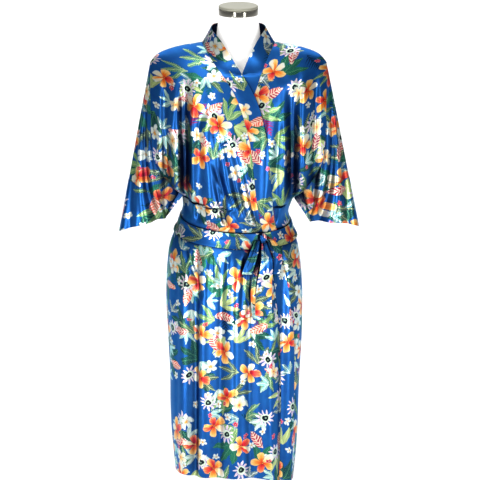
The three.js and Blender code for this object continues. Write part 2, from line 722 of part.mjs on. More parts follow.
function sashPoint(angle, w) {
  const onFront = wrapLift * smooth((Math.cos(angle) + 0.35) / 0.4);
  const crown = 2.2 * Math.sin(Math.PI * w);
  const point = bodyPoint(angle, sashLevel + sashWidth * (w - 0.5), onFront + sashLift + crown);
  point.z = sashLevel - dipAt(angle, sashLevel) + sashWidth * (w - 0.5);
  return point;
}

function sashCells() {
  const around = 48;
  const cellAt = (w, turn) => surfaceCell(sashPoint, turn * rad(360), w, 0.02, 0.02);
  return steps(3).map((w) => steps(around).slice(0, around).map((turn) => cellAt(w, turn)));
}

function ribbonCells(stations, columns) {
  const way = curves(stations.map((row, i) => ({ ...row, i })), "i");
  const last = stations.length - 1;
  const rows = steps(last * 2, 0, last).map((t) => {
    const x = way.x(t);
    const level = levelAtHeight(x, way.z(t));
    const middle = bodyPoint(angleAt(x, level), level, wrapLift + way.off(t));
    return steps(columns, -0.5, 0.5).map((w) => {
      const curl = ribbonCurl * Math.cos(w * rad(360));
      return new THREE.Vector3(middle.x + w * way.width(t), middle.y - curl, middle.z);
    });
  });
  return gridCells(rows.reverse());
}

function knotSolid() {
  const [rings, sides] = [7, 14];
  const level = levelAtHeight(knot.x, knot.z);
  const centre = bodyPoint(angleAt(knot.x, level), level, wrapLift + knot.off + knot.deep * 0.4);
  const made = steps(rings, -1, 1).map((height) => {
    const girth = Math.sqrt(1 - (height * 0.93) ** 2);
    return steps(sides).slice(0, sides).map((turn) => {
      const a = turn * 2 * Math.PI;
      const pinch = 1 + 0.08 * Math.cos(3 * a + height * 2);
      return new THREE.Vector3(
        centre.x + knot.wide * girth * pinch * Math.cos(a),
        centre.y + knot.deep * girth * pinch * Math.sin(a),
        centre.z + knot.high * height,
      );
    });
  });
  return loft(made);
}

// The dress form and its stand

function formPoint(turn, z) {
  const angle = turn * 2 * Math.PI;
  const [c, s] = [Math.cos(angle), Math.sin(angle)];
  const corner = 2 / form.corner(z);
  const depth = s < 0 ? form.front(z) : form.back(z);
  return new THREE.Vector3(
    form.half(z) * Math.sign(c) * Math.abs(c) ** corner,
    depth * Math.sign(s) * Math.abs(s) ** corner,
    z,
  );
}

function formTorso() {
  const sides = 32;
  const ring = (z) => steps(sides).slice(0, sides).map((turn) => formPoint(turn, z));
  return loft(formRings.map((row) => ring(row.z)));
}

function neckCap() {
  const bottom = neckTop + 0.3;
  const bevel = 5;
  const top = bottom + capHeight;
  return turned(
    [
      [0, bottom],
      [capRadius, bottom],
      [capRadius, top - bevel],
      [capRadius - bevel * 0.3, top - bevel * 0.3],
      [capRadius - bevel, top],
      [capRadius * 0.5, top + capDome * 0.75],
      [0, top + capDome],
    ],
    32,
  );
}

function standBase() {
  const rim = 4;
  return turned(
    [
      [0, 0],
      [baseRadius - 1, 0],
      [baseRadius, 1],
      [baseRadius, rim],
      [baseRadius - rim, rim + 3],
      [poleRadius * 3, baseThickness - 2],
      [poleRadius * 2, baseThickness],
      [0, baseThickness],
    ],
    40,
  );
}

function standPole() {
  const ends = 0.3;
  return turned(
    [
      [0, baseThickness + ends],
      [poleRadius, baseThickness + ends],
      [poleRadius, formBottom - ends],
      [0, formBottom - ends],
    ],
    20,
  );
}

// Materials

const satin = new THREE.MeshStandardMaterial({ color: "#1f5fb4", roughness: 0.35, side: THREE.DoubleSide });
const bandSatin = new THREE.MeshStandardMaterial({ color: "#1b53a3", roughness: 0.35 });
const formWhite = new THREE.MeshStandardMaterial({ color: "#f6f4f0", roughness: 0.6 });
const nickel = new THREE.MeshStandardMaterial({ color: "#b9b8a6", roughness: 0.25, metalness: 1 });

const robe = new THREE.Group();
const stand = new THREE.Group();

function add(group, name, geometry, material) {
  const mesh = new THREE.Mesh(geometry, material);
  mesh.name = name;
  group.add(mesh);
}

add(robe, "back", wall(backRows(22), clothThickness), satin);
add(robe, "front_over", wall(frontRows(-1, 19, seams.over, overLift), clothThickness), satin);
add(robe, "front_under", wall(frontRows(1, 18, seams.under, underLift), clothThickness), satin);
for (const [name, end] of Object.entries(sleeveEnds)) {
  const cuffStart = cuffShare + 0.0065;
  add(robe, `sleeve_${name}`, wall(sleeveRows(end, 0, cuffShare, 6), clothThickness, true), satin);
  add(robe, `cuff_${name}`, wall(sleeveRows(end, cuffStart, 1, 3, 0.3), bandThickness, true), satin);
}
add(robe, "neckband", wall(bandCells(), bandThickness), bandSatin);
add(robe, "sash", wall(sashCells(), sashThickness, true), bandSatin);
add(robe, "sash_knot", knotSolid(), bandSatin);
for (const [name, stations] of Object.entries(ribbons))
  add(robe, name, wall(ribbonCells(stations, 3), ribbonThickness), bandSatin);

add(stand, "form_torso", formTorso(), formWhite);
add(stand, "neck_cap", neckCap(), nickel);
add(stand, "stand_pole", standPole(), formWhite);
add(stand, "stand_base", standBase(), formWhite);

const model = new THREE.Group();
model.add(robe, stand);

export default model;
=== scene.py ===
"""Looks of a flower-printed satin wrap kimono robe on a limbless dress form with a metal neck cap."""

import logging
import math
from dataclasses import dataclass
from enum import Enum
from typing import Callable, Sequence

import bpy
import numpy as np
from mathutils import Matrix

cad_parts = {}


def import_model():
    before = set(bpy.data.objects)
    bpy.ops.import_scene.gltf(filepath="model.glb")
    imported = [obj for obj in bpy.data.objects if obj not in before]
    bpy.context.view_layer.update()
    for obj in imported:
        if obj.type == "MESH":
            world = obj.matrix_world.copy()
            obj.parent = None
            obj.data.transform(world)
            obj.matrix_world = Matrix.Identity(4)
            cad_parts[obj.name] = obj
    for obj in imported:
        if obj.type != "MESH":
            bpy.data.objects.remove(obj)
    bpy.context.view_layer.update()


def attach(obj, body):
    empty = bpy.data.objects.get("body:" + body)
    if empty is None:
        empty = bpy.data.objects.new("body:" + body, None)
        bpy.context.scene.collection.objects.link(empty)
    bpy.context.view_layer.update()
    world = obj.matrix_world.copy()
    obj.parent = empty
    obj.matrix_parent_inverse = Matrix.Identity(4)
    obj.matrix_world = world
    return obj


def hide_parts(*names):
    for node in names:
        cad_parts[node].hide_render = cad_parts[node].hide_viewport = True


LOG = logging.getLogger("kimono")
MM = 0.001
Array = np.ndarray


class Side(Enum):
    """Which half of the robe a piece belongs to, as the viewer sees it."""

    LEFT = -1
    RIGHT = 1


class Petal(Enum):
    """The petal shapes of the printed flowers: how sharp and how deep the notch between two petals is."""

    BROAD = (2.4, 0.55)
    NARROW = (1.5, 0.72)


# Numbers and curves


def smooth(value: Array) -> Array:
    """Eases a value from 0 to 1."""
    t = np.clip(value, 0.0, 1.0)
    return t * t * (3.0 - 2.0 * t)


def eased(value: Array, start: float, end: float) -> Array:
    """Eases from 0 where the value is at the start to 1 where it is at the end."""
    return smooth((value - start) / (end - start))


def mix(a: Array, b: Array, share: Array) -> Array:
    """Goes from a to b by a share."""
    return a + (b - a) * share


def crowded(share: Array, power: float) -> Array:
    """Crowds shares from 0 to 1 towards 1."""
    return 1 - (1 - share) ** power


class Table:
    """A short table of sizes with named columns, read as smooth curves along its first column."""

    def __init__(self, text: str) -> None:
        """Keeps the table.

        Args:
            text: a line of column names, then a line of numbers for each row.
        """
        names, *rows = text.strip().splitlines()
        self.names = names.split()
        self.values = np.array([row.split() for row in rows], dtype=float)

    def column(self, name: str) -> Array:
        """Gives one column's numbers."""
        return self.values[:, self.names.index(name)]

    def read(self, name: str, where: Array) -> Array:
        """Reads a column between its rows with no overshoot.

        Args:
            name: the column.
            where: the places along the first column.

        Returns:
            The column's value at each place.
        """
        at, value = self.values[:, 0], self.column(name)
        slope = np.diff(value) / np.diff(at)
        before, after = slope[:-1], slope[1:]
        total = before + after
        safe = np.where(np.abs(total) < 1e-12, 1.0, total)
        inner = np.where(before * after <= 0.0, 0.0, 2.0 * before * after / safe)
        tangent = np.concatenate(([slope[0]], inner, [slope[-1]]))
        place = np.clip(where, at[0], at[-1])
        i = np.clip(np.searchsorted(at, place, side="right") - 1, 0, len(at) - 2)
        step = at[i + 1] - at[i]
        t = (place - at[i]) / step
        start = value[i] * (1 + 2 * t) * (1 - t) ** 2 + tangent[i] * step * t * (1 - t) ** 2
        end = value[i + 1] * (3 - 2 * t) * t**2 - tangent[i + 1] * step * (1 - t) * t**2
        return start + end


BODY = Table("""
    level middle half front back round
    200 -13 171 116 108 0.92
    307 -12 182 122 114 0.93
    396 -12 186 125 118 0.94
    515 -10 189 128 123 0.96
    605 -10 194 131 128 0.98
    694 -12 197 133 133 1
    783 -12 195 132 137 1
    843 -12 190 128 135 1
    873 -11 184 124 131 1
    908 -9 172 117 122 1
    930 -8 162 111 116 1
    952 -8 158 114 115 1
    977 -8 153 124 118 1
    1015 -4 160 131 118 1
    1050 -2 200 130 116 1.05
    1100 0 256 128 115 1.15
    1150 0 306 128 114 1.2
    1230 0 293 129 114 1.2
    1300 0 281 122 116 1.15
    1350 0 270 110 114 1.1
    1406 0 257 92 106 1
    1500 0 257 78 94 1
""")
ARMHOLE = Table("""
    level x
    1015 160
    1050 191
    1100 228
    1150 244
    1210 250
    1406 253
""")
SHOULDER = Table("""
    x level
    0 1492
    60 1478
    80 1471
    104 1465
    161 1456
    204 1444
    230 1432
    243 1420
    254 1405
""")
SEAMS = Table("""
    level over under span
    200 122 -124 48
    424 127 -128 48
    573 124 -122 48
    722 110 -108 48
    873 88 -82 48
    930 76 -66 48
    975 66 -56 48
    1047 53 -38 48
    1122 44 -22 48
    1170 38 -8 49
    1217 30 4 51
    1254 20 15 53
    1300 6 30 54
    1345 -15 48 55
    1388 -45 64 57
    1416 -68 76 57
    1440 -86 88 57
    1465 -104 104 57
""")
NECK_EDGES = {
    Side.LEFT: Table("""
        share x y z
        0 12 -95 1388
        0.18 -20 -86 1437
        0.36 -53 -58 1484
        0.47 -71 -30 1500
        0.55 -79 -2 1507
        0.7 -72 30 1512
        0.85 -42 54 1513
        1 0 62 1513
    """),
    Side.RIGHT: Table("""
        share x y z
        0 9 -92 1388
        0.18 30 -84 1436
        0.36 56 -56 1482
        0.47 71 -30 1500
        0.55 79 -2 1507
        0.7 72 30 1512
        0.85 42 54 1513
        1 0 62 1513
    """),
}

FRONT_FOLDS = Table("""
    x0 level0 x1 level1 half height0 height1
    -153 1340 -151 1000 24 -13 -35
    -180 1370 -180 1010 20 2 15
    -208 1370 -203 1030 17 -4 -15
    -229 1385 -226 1080 15 3 9
    -118 1270 -108 965 20 -3 -10
    -94 1300 -76 965 24 4 10
    -72 1260 -36 965 18 -3 -8
    -78 1290 -4 965 22 3 8
    -46 1230 22 965 16 -2 -8
    -20 1220 46 965 15 3 8
    84 1290 74 965 22 3 7
    120 1280 104 965 20 -6 -10
    154 1350 152 1000 25 -12 -34
    188 1390 184 1010 22 8 14
    222 1385 215 1040 17 -7 -14
    -160 905 -104 765 17 -9 -4
    -152 850 -154 250 26 7 8
    -122 800 -126 215 18 -6 -9
    -92 890 -98 230 27 9 11
    -50 890 -60 210 27 -8 -12
    -10 885 -12 225 28 9 11
    34 885 38 210 26 -8 -12
    84 885 86 225 27 8 11
    128 880 126 210 21 -7 -10
    -128 1150 -116 962 14 -1 -6
    -76 1130 -34 962 12 -1 -6
    -98 1190 10 962 14 -2 -7
    -50 1120 32 962 12 1 5
    18 1110 56 962 11 -1 -6
    112 1150 68 962 13 -1 -7
    134 1120 112 962 12 1 5
    -138 896 -146 760 9 4 1
    -118 896 -112 720 9 -4 -1
    -70 896 -78 690 10 -4 -1
    -30 896 -38 680 9 4 1
    18 896 4 650 10 -4 -1
    46 896 44 640 9 4 1
    60 896 66 660 9 -5 -1
    76 896 98 600 12 5 2
    104 896 114 720 9 -4 -1
    -170 1415 -200 1230 26 0 6
    -140 1405 -176 1220 20 0 -5
    -112 1400 -140 1210 24 0 5
    150 1415 178 1230 24 0 5
    126 1400 140 1230 20 0 -5
    -60 1380 -110 1250 22 0 -4
""")
BACK_FOLDS = Table("""
    x0 level0 x1 level1 half height0 height1
    -152 1290 -151 1000 28 0 -29
    -182 1370 -180 1010 22 3 13
    -214 1370 -208 1030 18 -4 -13
    -105 1240 -92 965 24 3 9
    -58 1200 -50 965 22 -3 -9
    -8 1180 -6 965 24 3 9
    42 1200 38 965 22 -3 -9
    92 1240 84 965 24 3 9
    152 1290 151 1000 28 0 -29
    184 1370 180 1010 22 3 13
    216 1370 210 1030 18 -4 -13
    -128 885 -134 230 27 7 8
    -80 885 -86 215 25 -8 -9
    -34 885 -38 230 27 8 9
    12 885 12 215 25 -8 -9
    58 885 62 230 27 8 9
    104 885 112 215 25 -8 -8
    -128 1130 -118 962 9 -1 -5
    -84 1090 -74 962 8 1 4
    -34 1080 -28 962 8 -1 -5
    20 1100 16 962 8 1 4
    66 1080 60 962 8 -1 -5
    118 1120 110 962 9 1 4
    -104 896 -110 720 10 -4 -1
    -54 896 -58 690 9 4 1
    -10 896 -12 710 10 -4 -1
    38 896 40 690 9 4 1
    84 896 88 700 10 -4 -1
    -120 1400 -80 1180 26 0 -5
    120 1400 86 1180 26 0 -5
    0 1390 0 1200 40 0 4
""")
SLEEVE_FOLDS = Table("""
    turn0 turn1 half height0 height1
    0.1 0.38 0.07 -6 -13
    0.03 0.28 0.06 2 8
    0.2 0.47 0.055 2 7
    0.02 0.16 0.05 0 -8
    0.0 0.08 0.05 0 5
    0.06 0.22 0.025 0 3
    0.88 0.64 0.07 -5 -12
    0.95 0.75 0.06 2 8
    0.97 0.86 0.05 0 -7
""")
FORM = Table("""
    z half front back corner
    700 146 96 108 2.25
    730 156 103 117 2.25
    790 163 107 124 2.25
    850 160 101 122 2.25
    910 144 92 109 2.25
    960 129 91 96 2.25
    1020 119 94 87 2.25
    1080 122 100 84 2.25
    1150 134 110 90 2.25
    1220 147 119 98 2.25
    1270 154 114 103 2.25
    1320 164 97 103 2.25
    1370 180 80 94 2.25
    1400 190 68 82 2.2
    1422 193 59 69 2
    1439.7 185 53 60 1.8
    1448.7 171 52 56 1.55
    1453.7 151 51 54 1.35
    1458.7 119 51 54 1.3
    1463.2 95 51 54 1.45
    1470 79 51 54 1.8
    1485 65 51 53 2
    1510 58 52 53 2
    1546 56 54 54 2
""")

FORM_BOTTOM, FORM_TOP = 700.0, 1546.0
HEM, SASH_LEVEL, UNDERARM = 200.0, 930.0, 1015.0
SHOULDER_POINT, NECK_POINT, NECK_POINT_X = 1406.0, 1465.0, 104.0
BACK_NECK_DEPTH, SHOULDER_ROUND = 68.0, 120.0
SASH_DIP, SASH_DIP_ANGLE = 24.0, math.radians(20.0)
HEM_DROP = 34.0
PULL_LOW, PULL_FULL_LOW, PULL_FULL_HIGH, PULL_HIGH = 560.0, 890.0, 990.0, 1180.0
DROP_START = 600.0
SASH_PRESSED, FOLDS_FREE, RIPPLE_FREE = 28.0, 60.0, 88.0
RIPPLE, RIPPLE_TOP, RIPPLE_FULL = 0.7, 1400.0, 1240.0
SKIRT_TOP, SKIRT_FULL = 1000.0, 880.0
LIFT_FADE = 60.0
WRAP_LIFT, UNDER_DROP = 4.0, 3.0
CROSSING = 1388.0
ROW_CROWD, EDGE_CROWD = 1.6, 1.12


class Drape:
    """The surface that every body piece of the robe is read from, by an angle round the body and a level."""

    def folds(self, table: Table, x: Array, level: Array) -> Array:
        """Adds up a face's folds.

        Args:
            table: the folds.
            x: the places across the body.
            level: the levels.

        Returns:
            How far the cloth stands out.
        """
        height = np.zeros(np.broadcast(x, level).shape)
        for x0, top, x1, bottom, half, start, end in table.values:
            along = (top - level) / (top - bottom)
            fade = eased(along, -0.12, 0.18) * eased(along, 1.16, 0.96)
            share = np.clip(along, 0, 1)
            across = np.clip((x - mix(x0, x1, share)) / half, -1, 1)
            height += mix(start, end, share) * fade * np.cos(across * math.pi / 2) ** 2
        return height * eased(np.abs(level - SASH_LEVEL), SASH_PRESSED, FOLDS_FREE)

    def ripple(self, x: Array, level: Array) -> Array:
        """Gives the slight unevenness of hanging satin, which has no ripple near the shoulder and sash."""
        wave = np.sin(x / 17.0 + level / 71.0) * np.sin(level / 53.0 - x / 97.0 + 1.3)
        wave = wave + 0.6 * np.sin(x / 11.0 - level / 160.0 + 2.1) * np.sin(level / 89.0 + 0.4)
        free = eased(np.abs(level - SASH_LEVEL), SASH_PRESSED, RIPPLE_FREE)
        return RIPPLE * wave * free * eased(level, RIPPLE_TOP, RIPPLE_FULL)

    def top(self, x: Array, in_front: Array) -> Array:
        """Gives the level of the shoulder seam over each place across."""
        line = SHOULDER.read("level", np.abs(x))
        return np.where(in_front, line, np.minimum(NECK_POINT, line))

    def neck_drop(self, x: Array, level: Array) -> Array:
        """Gives the drop below the shoulder at which the back reaches the edge of the neck opening."""
        inside = np.clip(np.abs(x) / NECK_POINT_X, 0, 1)
        edge = BACK_NECK_DEPTH * np.sqrt(1 - inside**2)
        across = np.clip(1 - (x / BODY.read("half", level)) ** 2, 1e-6, 1)
        full = BODY.read("back", level) * np.sqrt(across) ** BODY.read("round", level)
        reach = np.minimum(0.98, edge / full)
        return SHOULDER_ROUND * (1 - np.sqrt(1 - reach * reach))

    def dip(self, angle: Array, level: Array) -> Array:
        """Gives how far a level hangs down: by the sash's pull, and by the lower hem at the right."""
        pull = eased(level, PULL_LOW, PULL_FULL_LOW) * eased(level, PULL_HIGH, PULL_FULL_HIGH)
        hem = eased(level, DROP_START, HEM) * smooth(np.maximum(0, np.sin(angle)) ** 2)
        return SASH_DIP * np.cos(angle - SASH_DIP_ANGLE) * pull + HEM_DROP * hem

    def angle_at(self, x: Array, level: Array) -> Array:
        """Gives the angle at which the front passes a place across."""
        across = (x - BODY.read("middle", level)) / BODY.read("half", level)
        return np.arcsin(np.clip(across, -1, 1))

    def level_at(self, x: float, z: float) -> float:
        """Gives the level that stands at a height of the front."""
        level = z
        for _ in range(4):
            level = z + float(self.dip(self.angle_at(np.array(x), np.array(level)), np.array(level)))
        return level

    def point(self, angle: Array, level: Array, lift: Array = 0.0, ripple: float = 1.0) -> Array:
        """Gives points of the surface.

        Args:
            angle: the angles round the body, 0 in front and positive to the viewer's right.
            level: the levels.
            lift: how far the piece stands off the drape.
            ripple: how much of the cloth's unevenness is kept.

        Returns:
            The points in millimetres, in a last axis of three.
        """
        in_front = np.cos(angle) >= 0
        across = np.sin(angle)
        x = BODY.read("middle", level) + BODY.read("half", level) * across
        depth = np.where(in_front, BODY.read("front", level), BODY.read("back", level))
        drop = self.top(x, in_front) - level + np.where(in_front, 0.0, self.neck_drop(x, level))
        bend = 1 - np.clip(drop / SHOULDER_ROUND, 0, 1)
        share = np.sqrt(1 - bend * bend)
        fold = np.where(in_front, self.folds(FRONT_FOLDS, x, level), self.folds(BACK_FOLDS, x, level))
        fold = fold + lift + ripple * self.ripple(x, level)
        sideways = fold * across * eased(level, SKIRT_TOP, SKIRT_FULL)
        facing = np.abs(np.cos(angle))
        forward = depth * facing ** BODY.read("round", level) * share
        y = np.where(in_front, -1.0, 1.0) * (forward + fold * np.minimum(1, facing * 1.6) * share)
        z = level - self.dip(angle, level)
        return np.stack(np.broadcast_arrays(x + sideways, y, z), axis=-1)

    def over_lift(self, angle: Array, level: Array) -> Array:
        """Gives how far the wrapped front stands off the one below."""
        middle, half = BODY.read("middle", level), BODY.read("half", level)
        edge = np.where(level > UNDERARM, ARMHOLE.read("x", level), half - middle)
        reach = mix(20, 60, eased(level, 980, 1100))
        rise = smooth((middle + half * np.sin(angle) + edge) / reach)
        return WRAP_LIFT * rise * eased(level, NECK_POINT, NECK_POINT - LIFT_FADE)

    def under_lift(self, angle: Array, level: Array) -> Array:
        """Gives how far the front below sinks where the wrapped one covers it."""
        cover = BODY.read("middle", level) + BODY.read("half", level) * np.sin(angle)
        edge = SEAMS.read("over", level) + SEAMS.read("span", level) + 2
        return -UNDER_DROP * smooth((edge - cover) / 22) * eased(level, NECK_POINT, NECK_POINT - LIFT_FADE)


DRAPE = Drape()


# Meshes

OUTER_FOLD_X, OUTER_FOLD_SLOPE, OUTER_FOLD_STRETCH = 253.0, 0.183, 1.017
SHARP_FOLD = math.radians(50)
SEAM_REACH = 2e-5


def deselect() -> None:
    """Clears the selection, which the loaded frame leaves full."""
    bpy.ops.object.select_all(action="DESELECT")


def pick(obj: bpy.types.Object) -> None:
    """Makes one object the only selected one and the active one."""
    deselect()
    obj.select_set(True)
    bpy.context.view_layer.objects.active = obj


def named(name: str) -> bpy.types.Object:
    """Names the object that was just added, and gives it back."""
    piece = bpy.context.active_object
    piece.name = piece.data.name = name
    return piece


def read_points(mesh: bpy.types.Mesh) -> Array:
    """Gives where a mesh's vertices are."""
    raw = np.empty(len(mesh.vertices) * 3)
    mesh.vertices.foreach_get("co", raw)
    return raw.reshape(-1, 3)


def place_points(mesh: bpy.types.Mesh, points: Array) -> None:
    """Moves a mesh's vertices to points in millimetres."""
    mesh.vertices.foreach_set("co", (points.reshape(-1, 3) * MM).ravel())
    mesh.update()


def apply_modifier(obj: bpy.types.Object, kind: str, **settings: object) -> None:
    """Adds a modifier, sets it and applies it.

    Args:
        obj: the piece.
        kind: the modifier's type.
        settings: its values by name.
    """
    pick(obj)
    added = obj.modifiers.new(kind.title(), kind)
    for name, value in settings.items():
        setattr(added, name, value)
    bpy.ops.object.modifier_apply(modifier=added.name)


def cloth_uv(points: Array, reference: float | None = None) -> Array:
    """Gives each grid point its place on the flat cloth.

    Args:
        points: the grid in millimetres, rows first.
        reference: the place across the body that the rows are lined up on, or None for their first point.

    Returns:
        The places in metres, in a last axis of two.
    """
    step = np.linalg.norm(np.diff(points, axis=1), axis=2)
    run = np.concatenate((np.zeros((len(points), 1)), np.cumsum(step, axis=1)), axis=1)
    if reference is None:
        column = np.zeros(len(points), dtype=int)
        start = np.zeros(len(points))
    else:
        column = np.argmin(np.abs(points[:, :, 0] - reference), axis=1)
        pairs = (sorted(zip(row[:, 0], arc)) for row, arc in zip(points, run))
        start = np.array([np.interp(reference, *zip(*pair)) for pair in pairs])
    line = points[np.arange(len(points)), column]
    rise = np.concatenate(([0.0], np.cumsum(np.linalg.norm(np.diff(line, axis=0), axis=1))))
    lean = points[:, :, 2] - line[:, None, 2] if reference is not None else np.zeros(run.shape)
    return np.stack((run - start[:, None], rise[:, None] + lean), axis=-1) * MM


def sleeve_uv(points: Array, side: Side, turn: Array) -> Array:
    """Gives each point of a sleeve its place on the flat cloth, measured both ways from its outer fold."""
    x = points[..., 0] * side.value
    outer = OUTER_FOLD_X + OUTER_FOLD_SLOPE * (SHOULDER_POINT - points[..., 2])
    away = np.hypot(outer - x, points[..., 1]) * np.where(turn > 1.0, 1.0, -1.0)
    return np.stack((away * side.value, points[..., 2] * OUTER_FOLD_STRETCH), axis=-1) * MM


def dress(piece: bpy.types.Object, material: bpy.types.Material, node: str) -> None:
    """Gives a piece its finish and its place in the frame.

    Args:
        piece: the finished piece.
        material: its finish.
        node: the CAD node that it stands for.
    """
    piece.data.materials.clear()
    piece.data.materials.append(material)
    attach(piece, "root")
    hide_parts(node)
    LOG.info("%s: %d faces", piece.name, len(piece.data.polygons))


@dataclass(frozen=True)
class Cut:
    name: str
    node: str
    slot: str
    thickness: float
    offset: tuple[float, float]
    held: str
    rests_on: tuple[str, ...]
    flat: tuple[float, float]
    area: float | None = None
    closed: bool = False

    def sew(self, points: Array, uv: Array, satin: bpy.types.Material) -> None:
        """Shapes the piece as a grid, gives it its thickness and dresses it.

        Args:
            points: the grid in millimetres, rows first.
            uv: the grid's places on the flat cloth, before the piece's own offset on the printed cloth.
            satin: its finish.
        """
        rows, columns = points.shape[:2]
        deselect()
        bpy.ops.mesh.primitive_grid_add(x_subdivisions=columns - 1, y_subdivisions=rows - 1, size=2)
        piece = named(self.name)
        mesh = piece.data
        place_points(mesh, points)
        corners = np.empty(len(mesh.loops), dtype=np.int32)
        mesh.loops.foreach_get("vertex_index", corners)
        printed = (uv + np.array(self.offset)).reshape(-1, 2)
        mesh.uv_layers.active.data.foreach_set("uv", printed[corners].ravel())
        if self.closed:
            self.join_edges(piece)
        apply_modifier(piece, "SOLIDIFY", thickness=self.thickness * MM, offset=-1.0, use_even_offset=True)
        pick(piece)
        bpy.ops.object.shade_smooth_by_angle(angle=SHARP_FOLD)
        dress(piece, satin, self.node)

    def join_edges(self, piece: bpy.types.Object) -> None:
        """Joins the first and last columns of a tube."""
        pick(piece)
        bpy.ops.object.mode_set(mode="EDIT")
        bpy.ops.mesh.select_all(action="SELECT")
        bpy.ops.mesh.remove_doubles(threshold=SEAM_REACH)
        bpy.ops.object.mode_set(mode="OBJECT")


# Materials

CROWD_PITCH = 165.0
WOBBLE, WOBBLE_RATE = 14.0, 0.045
# How far the painted shade in creases looks for cover, in metres, and how strongly it darkens the satin.
PAINTED_SHADE_REACH, PAINTED_SHADE_GAIN = 0.05, 2.2


def ink(red: int, green: int, blue: int) -> tuple[float, float, float, float]:
    """Turns a printed colour's screen values into linear light."""
    def linear(value: int) -> float:
        """Turns one channel into linear light."""
        v = value / 255
        return v / 12.92 if v <= 0.04045 else ((v + 0.055) / 1.055) ** 2.4

    return (linear(red), linear(green), linear(blue), 1.0)


Socket = bpy.types.NodeSocket
Value = object


class Pen:
    """Writes maths and colours into a node tree."""

    def __init__(self, tree: bpy.types.NodeTree) -> None:
        """Keeps the tree that the pen writes into."""
        self.tree = tree

    def node(self, kind: str, inputs: dict[object, Value] | None = None, **settings: Value) -> bpy.types.Node:
        """Adds a node.

        Args:
            kind: the node's type.
            inputs: values or sockets by input name or number.
            settings: the node's own properties.

        Returns:
            The node.
        """
        made = self.tree.nodes.new(kind)
        for name, setting in settings.items():
            setattr(made, name, setting)
        for key, value in (inputs or {}).items():
            if isinstance(value, bpy.types.NodeSocket):
                self.tree.links.new(value, made.inputs[key])
            else:
                made.inputs[key].default_value = value
        return made

    def maths(self, kind: str, *values: Value) -> Socket:
        """Adds one step of arithmetic."""
        return self.node("ShaderNodeMath", dict(enumerate(values)), operation=kind).outputs[0]

    def times(self, a: Value, b: Value) -> Socket:
        """Multiplies two values."""
        return self.maths("MULTIPLY", a, b)

    def line(self, value: Value, slope: Value, start: Value) -> Socket:
        """Gives the value times a slope, plus a start."""
        return self.maths("MULTIPLY_ADD", value, slope, start)

    def beat(self, value: Value, rate: float) -> Socket:
        """Makes a value run from 0 to 1 over and over, at a rate."""
        return self.maths("FRACT", self.times(value, rate))

    def folded(self, share: Value) -> Socket:
        """Turns a run from 0 to 1 into one from 1 down to 0 and up again."""
        return self.maths("ABSOLUTE", self.line(share, 2.0, -1.0))

    def arch(self, share: Value) -> Socket:
        """Turns a run from 0 to 1 into a rise from 0 to 1 and back."""
        return self.maths("SINE", self.times(share, math.pi))

    def vector(self, kind: str, *values: Value) -> Socket:
        """Adds one step of vector arithmetic."""
        return self.node("ShaderNodeVectorMath", dict(enumerate(values)), operation=kind).outputs[0]

    def turned(self, vector: Value, angle: Value) -> Socket:
        """Turns a place on the cloth about the middle."""
        inputs = {"Vector": vector, "Angle": angle}
        return self.node("ShaderNodeVectorRotate", inputs, rotation_type="Z_AXIS").outputs[0]

    def across_and_along(self, vector: Value) -> tuple[Socket, Socket]:
        """Takes a place on the cloth apart."""
        x, y, _ = self.node("ShaderNodeSeparateXYZ", {0: vector}).outputs
        return x, y

    def blend(self, share: Value, below: Value, above: Value) -> Socket:
        """Lays one colour over another by a share."""
        made = self.node("ShaderNodeMix", {0: share, 6: below, 7: above}, data_type="RGBA")
        return made.outputs[2]

    def ramp(self, share: Value, stops: Sequence[tuple[float, tuple]], steps: bool = False) -> Socket:
        """Reads a colour along a row of stops.

        Args:
            share: where to read.
            stops: the places and their colours.
            steps: whether the colours change in steps.

        Returns:
            The colour.
        """
        made = self.node("ShaderNodeValToRGB", {0: share})
        made.color_ramp.interpolation = "CONSTANT" if steps else "LINEAR"
        row = made.color_ramp.elements
        while len(row) < len(stops):
            row.new(0.5)
        for element, (place, colour) in zip(row, stops):
            element.position = place
            element.color = colour
        return made.outputs[0]

    def one_of(self, colours: Sequence[tuple], share: Value) -> Socket:
        """Picks one of some colours by a share."""
        return self.ramp(share, [(i / len(colours), colour) for i, colour in enumerate(colours)], steps=True)

    def edge(self, value: Value, limit: float, width: float) -> Socket:
        """Gives 1 where the value is under the limit and 0 past the limit, with a soft edge."""
        return self.line(value, -1.0 / width, limit / width)

    def held(self, value: Value) -> Socket:
        """Keeps a value between 0 and 1."""
        made = self.node("ShaderNodeMath", {0: value, 1: 0.0}, operation="ADD")
        made.use_clamp = True
        return made.outputs[0]


@dataclass(frozen=True)
class Motif:
    """Where a printed motif lies: the place within it, two numbers by chance and whether it is printed."""

    place: Socket
    chance: tuple[Socket, Socket]
    printed: Socket


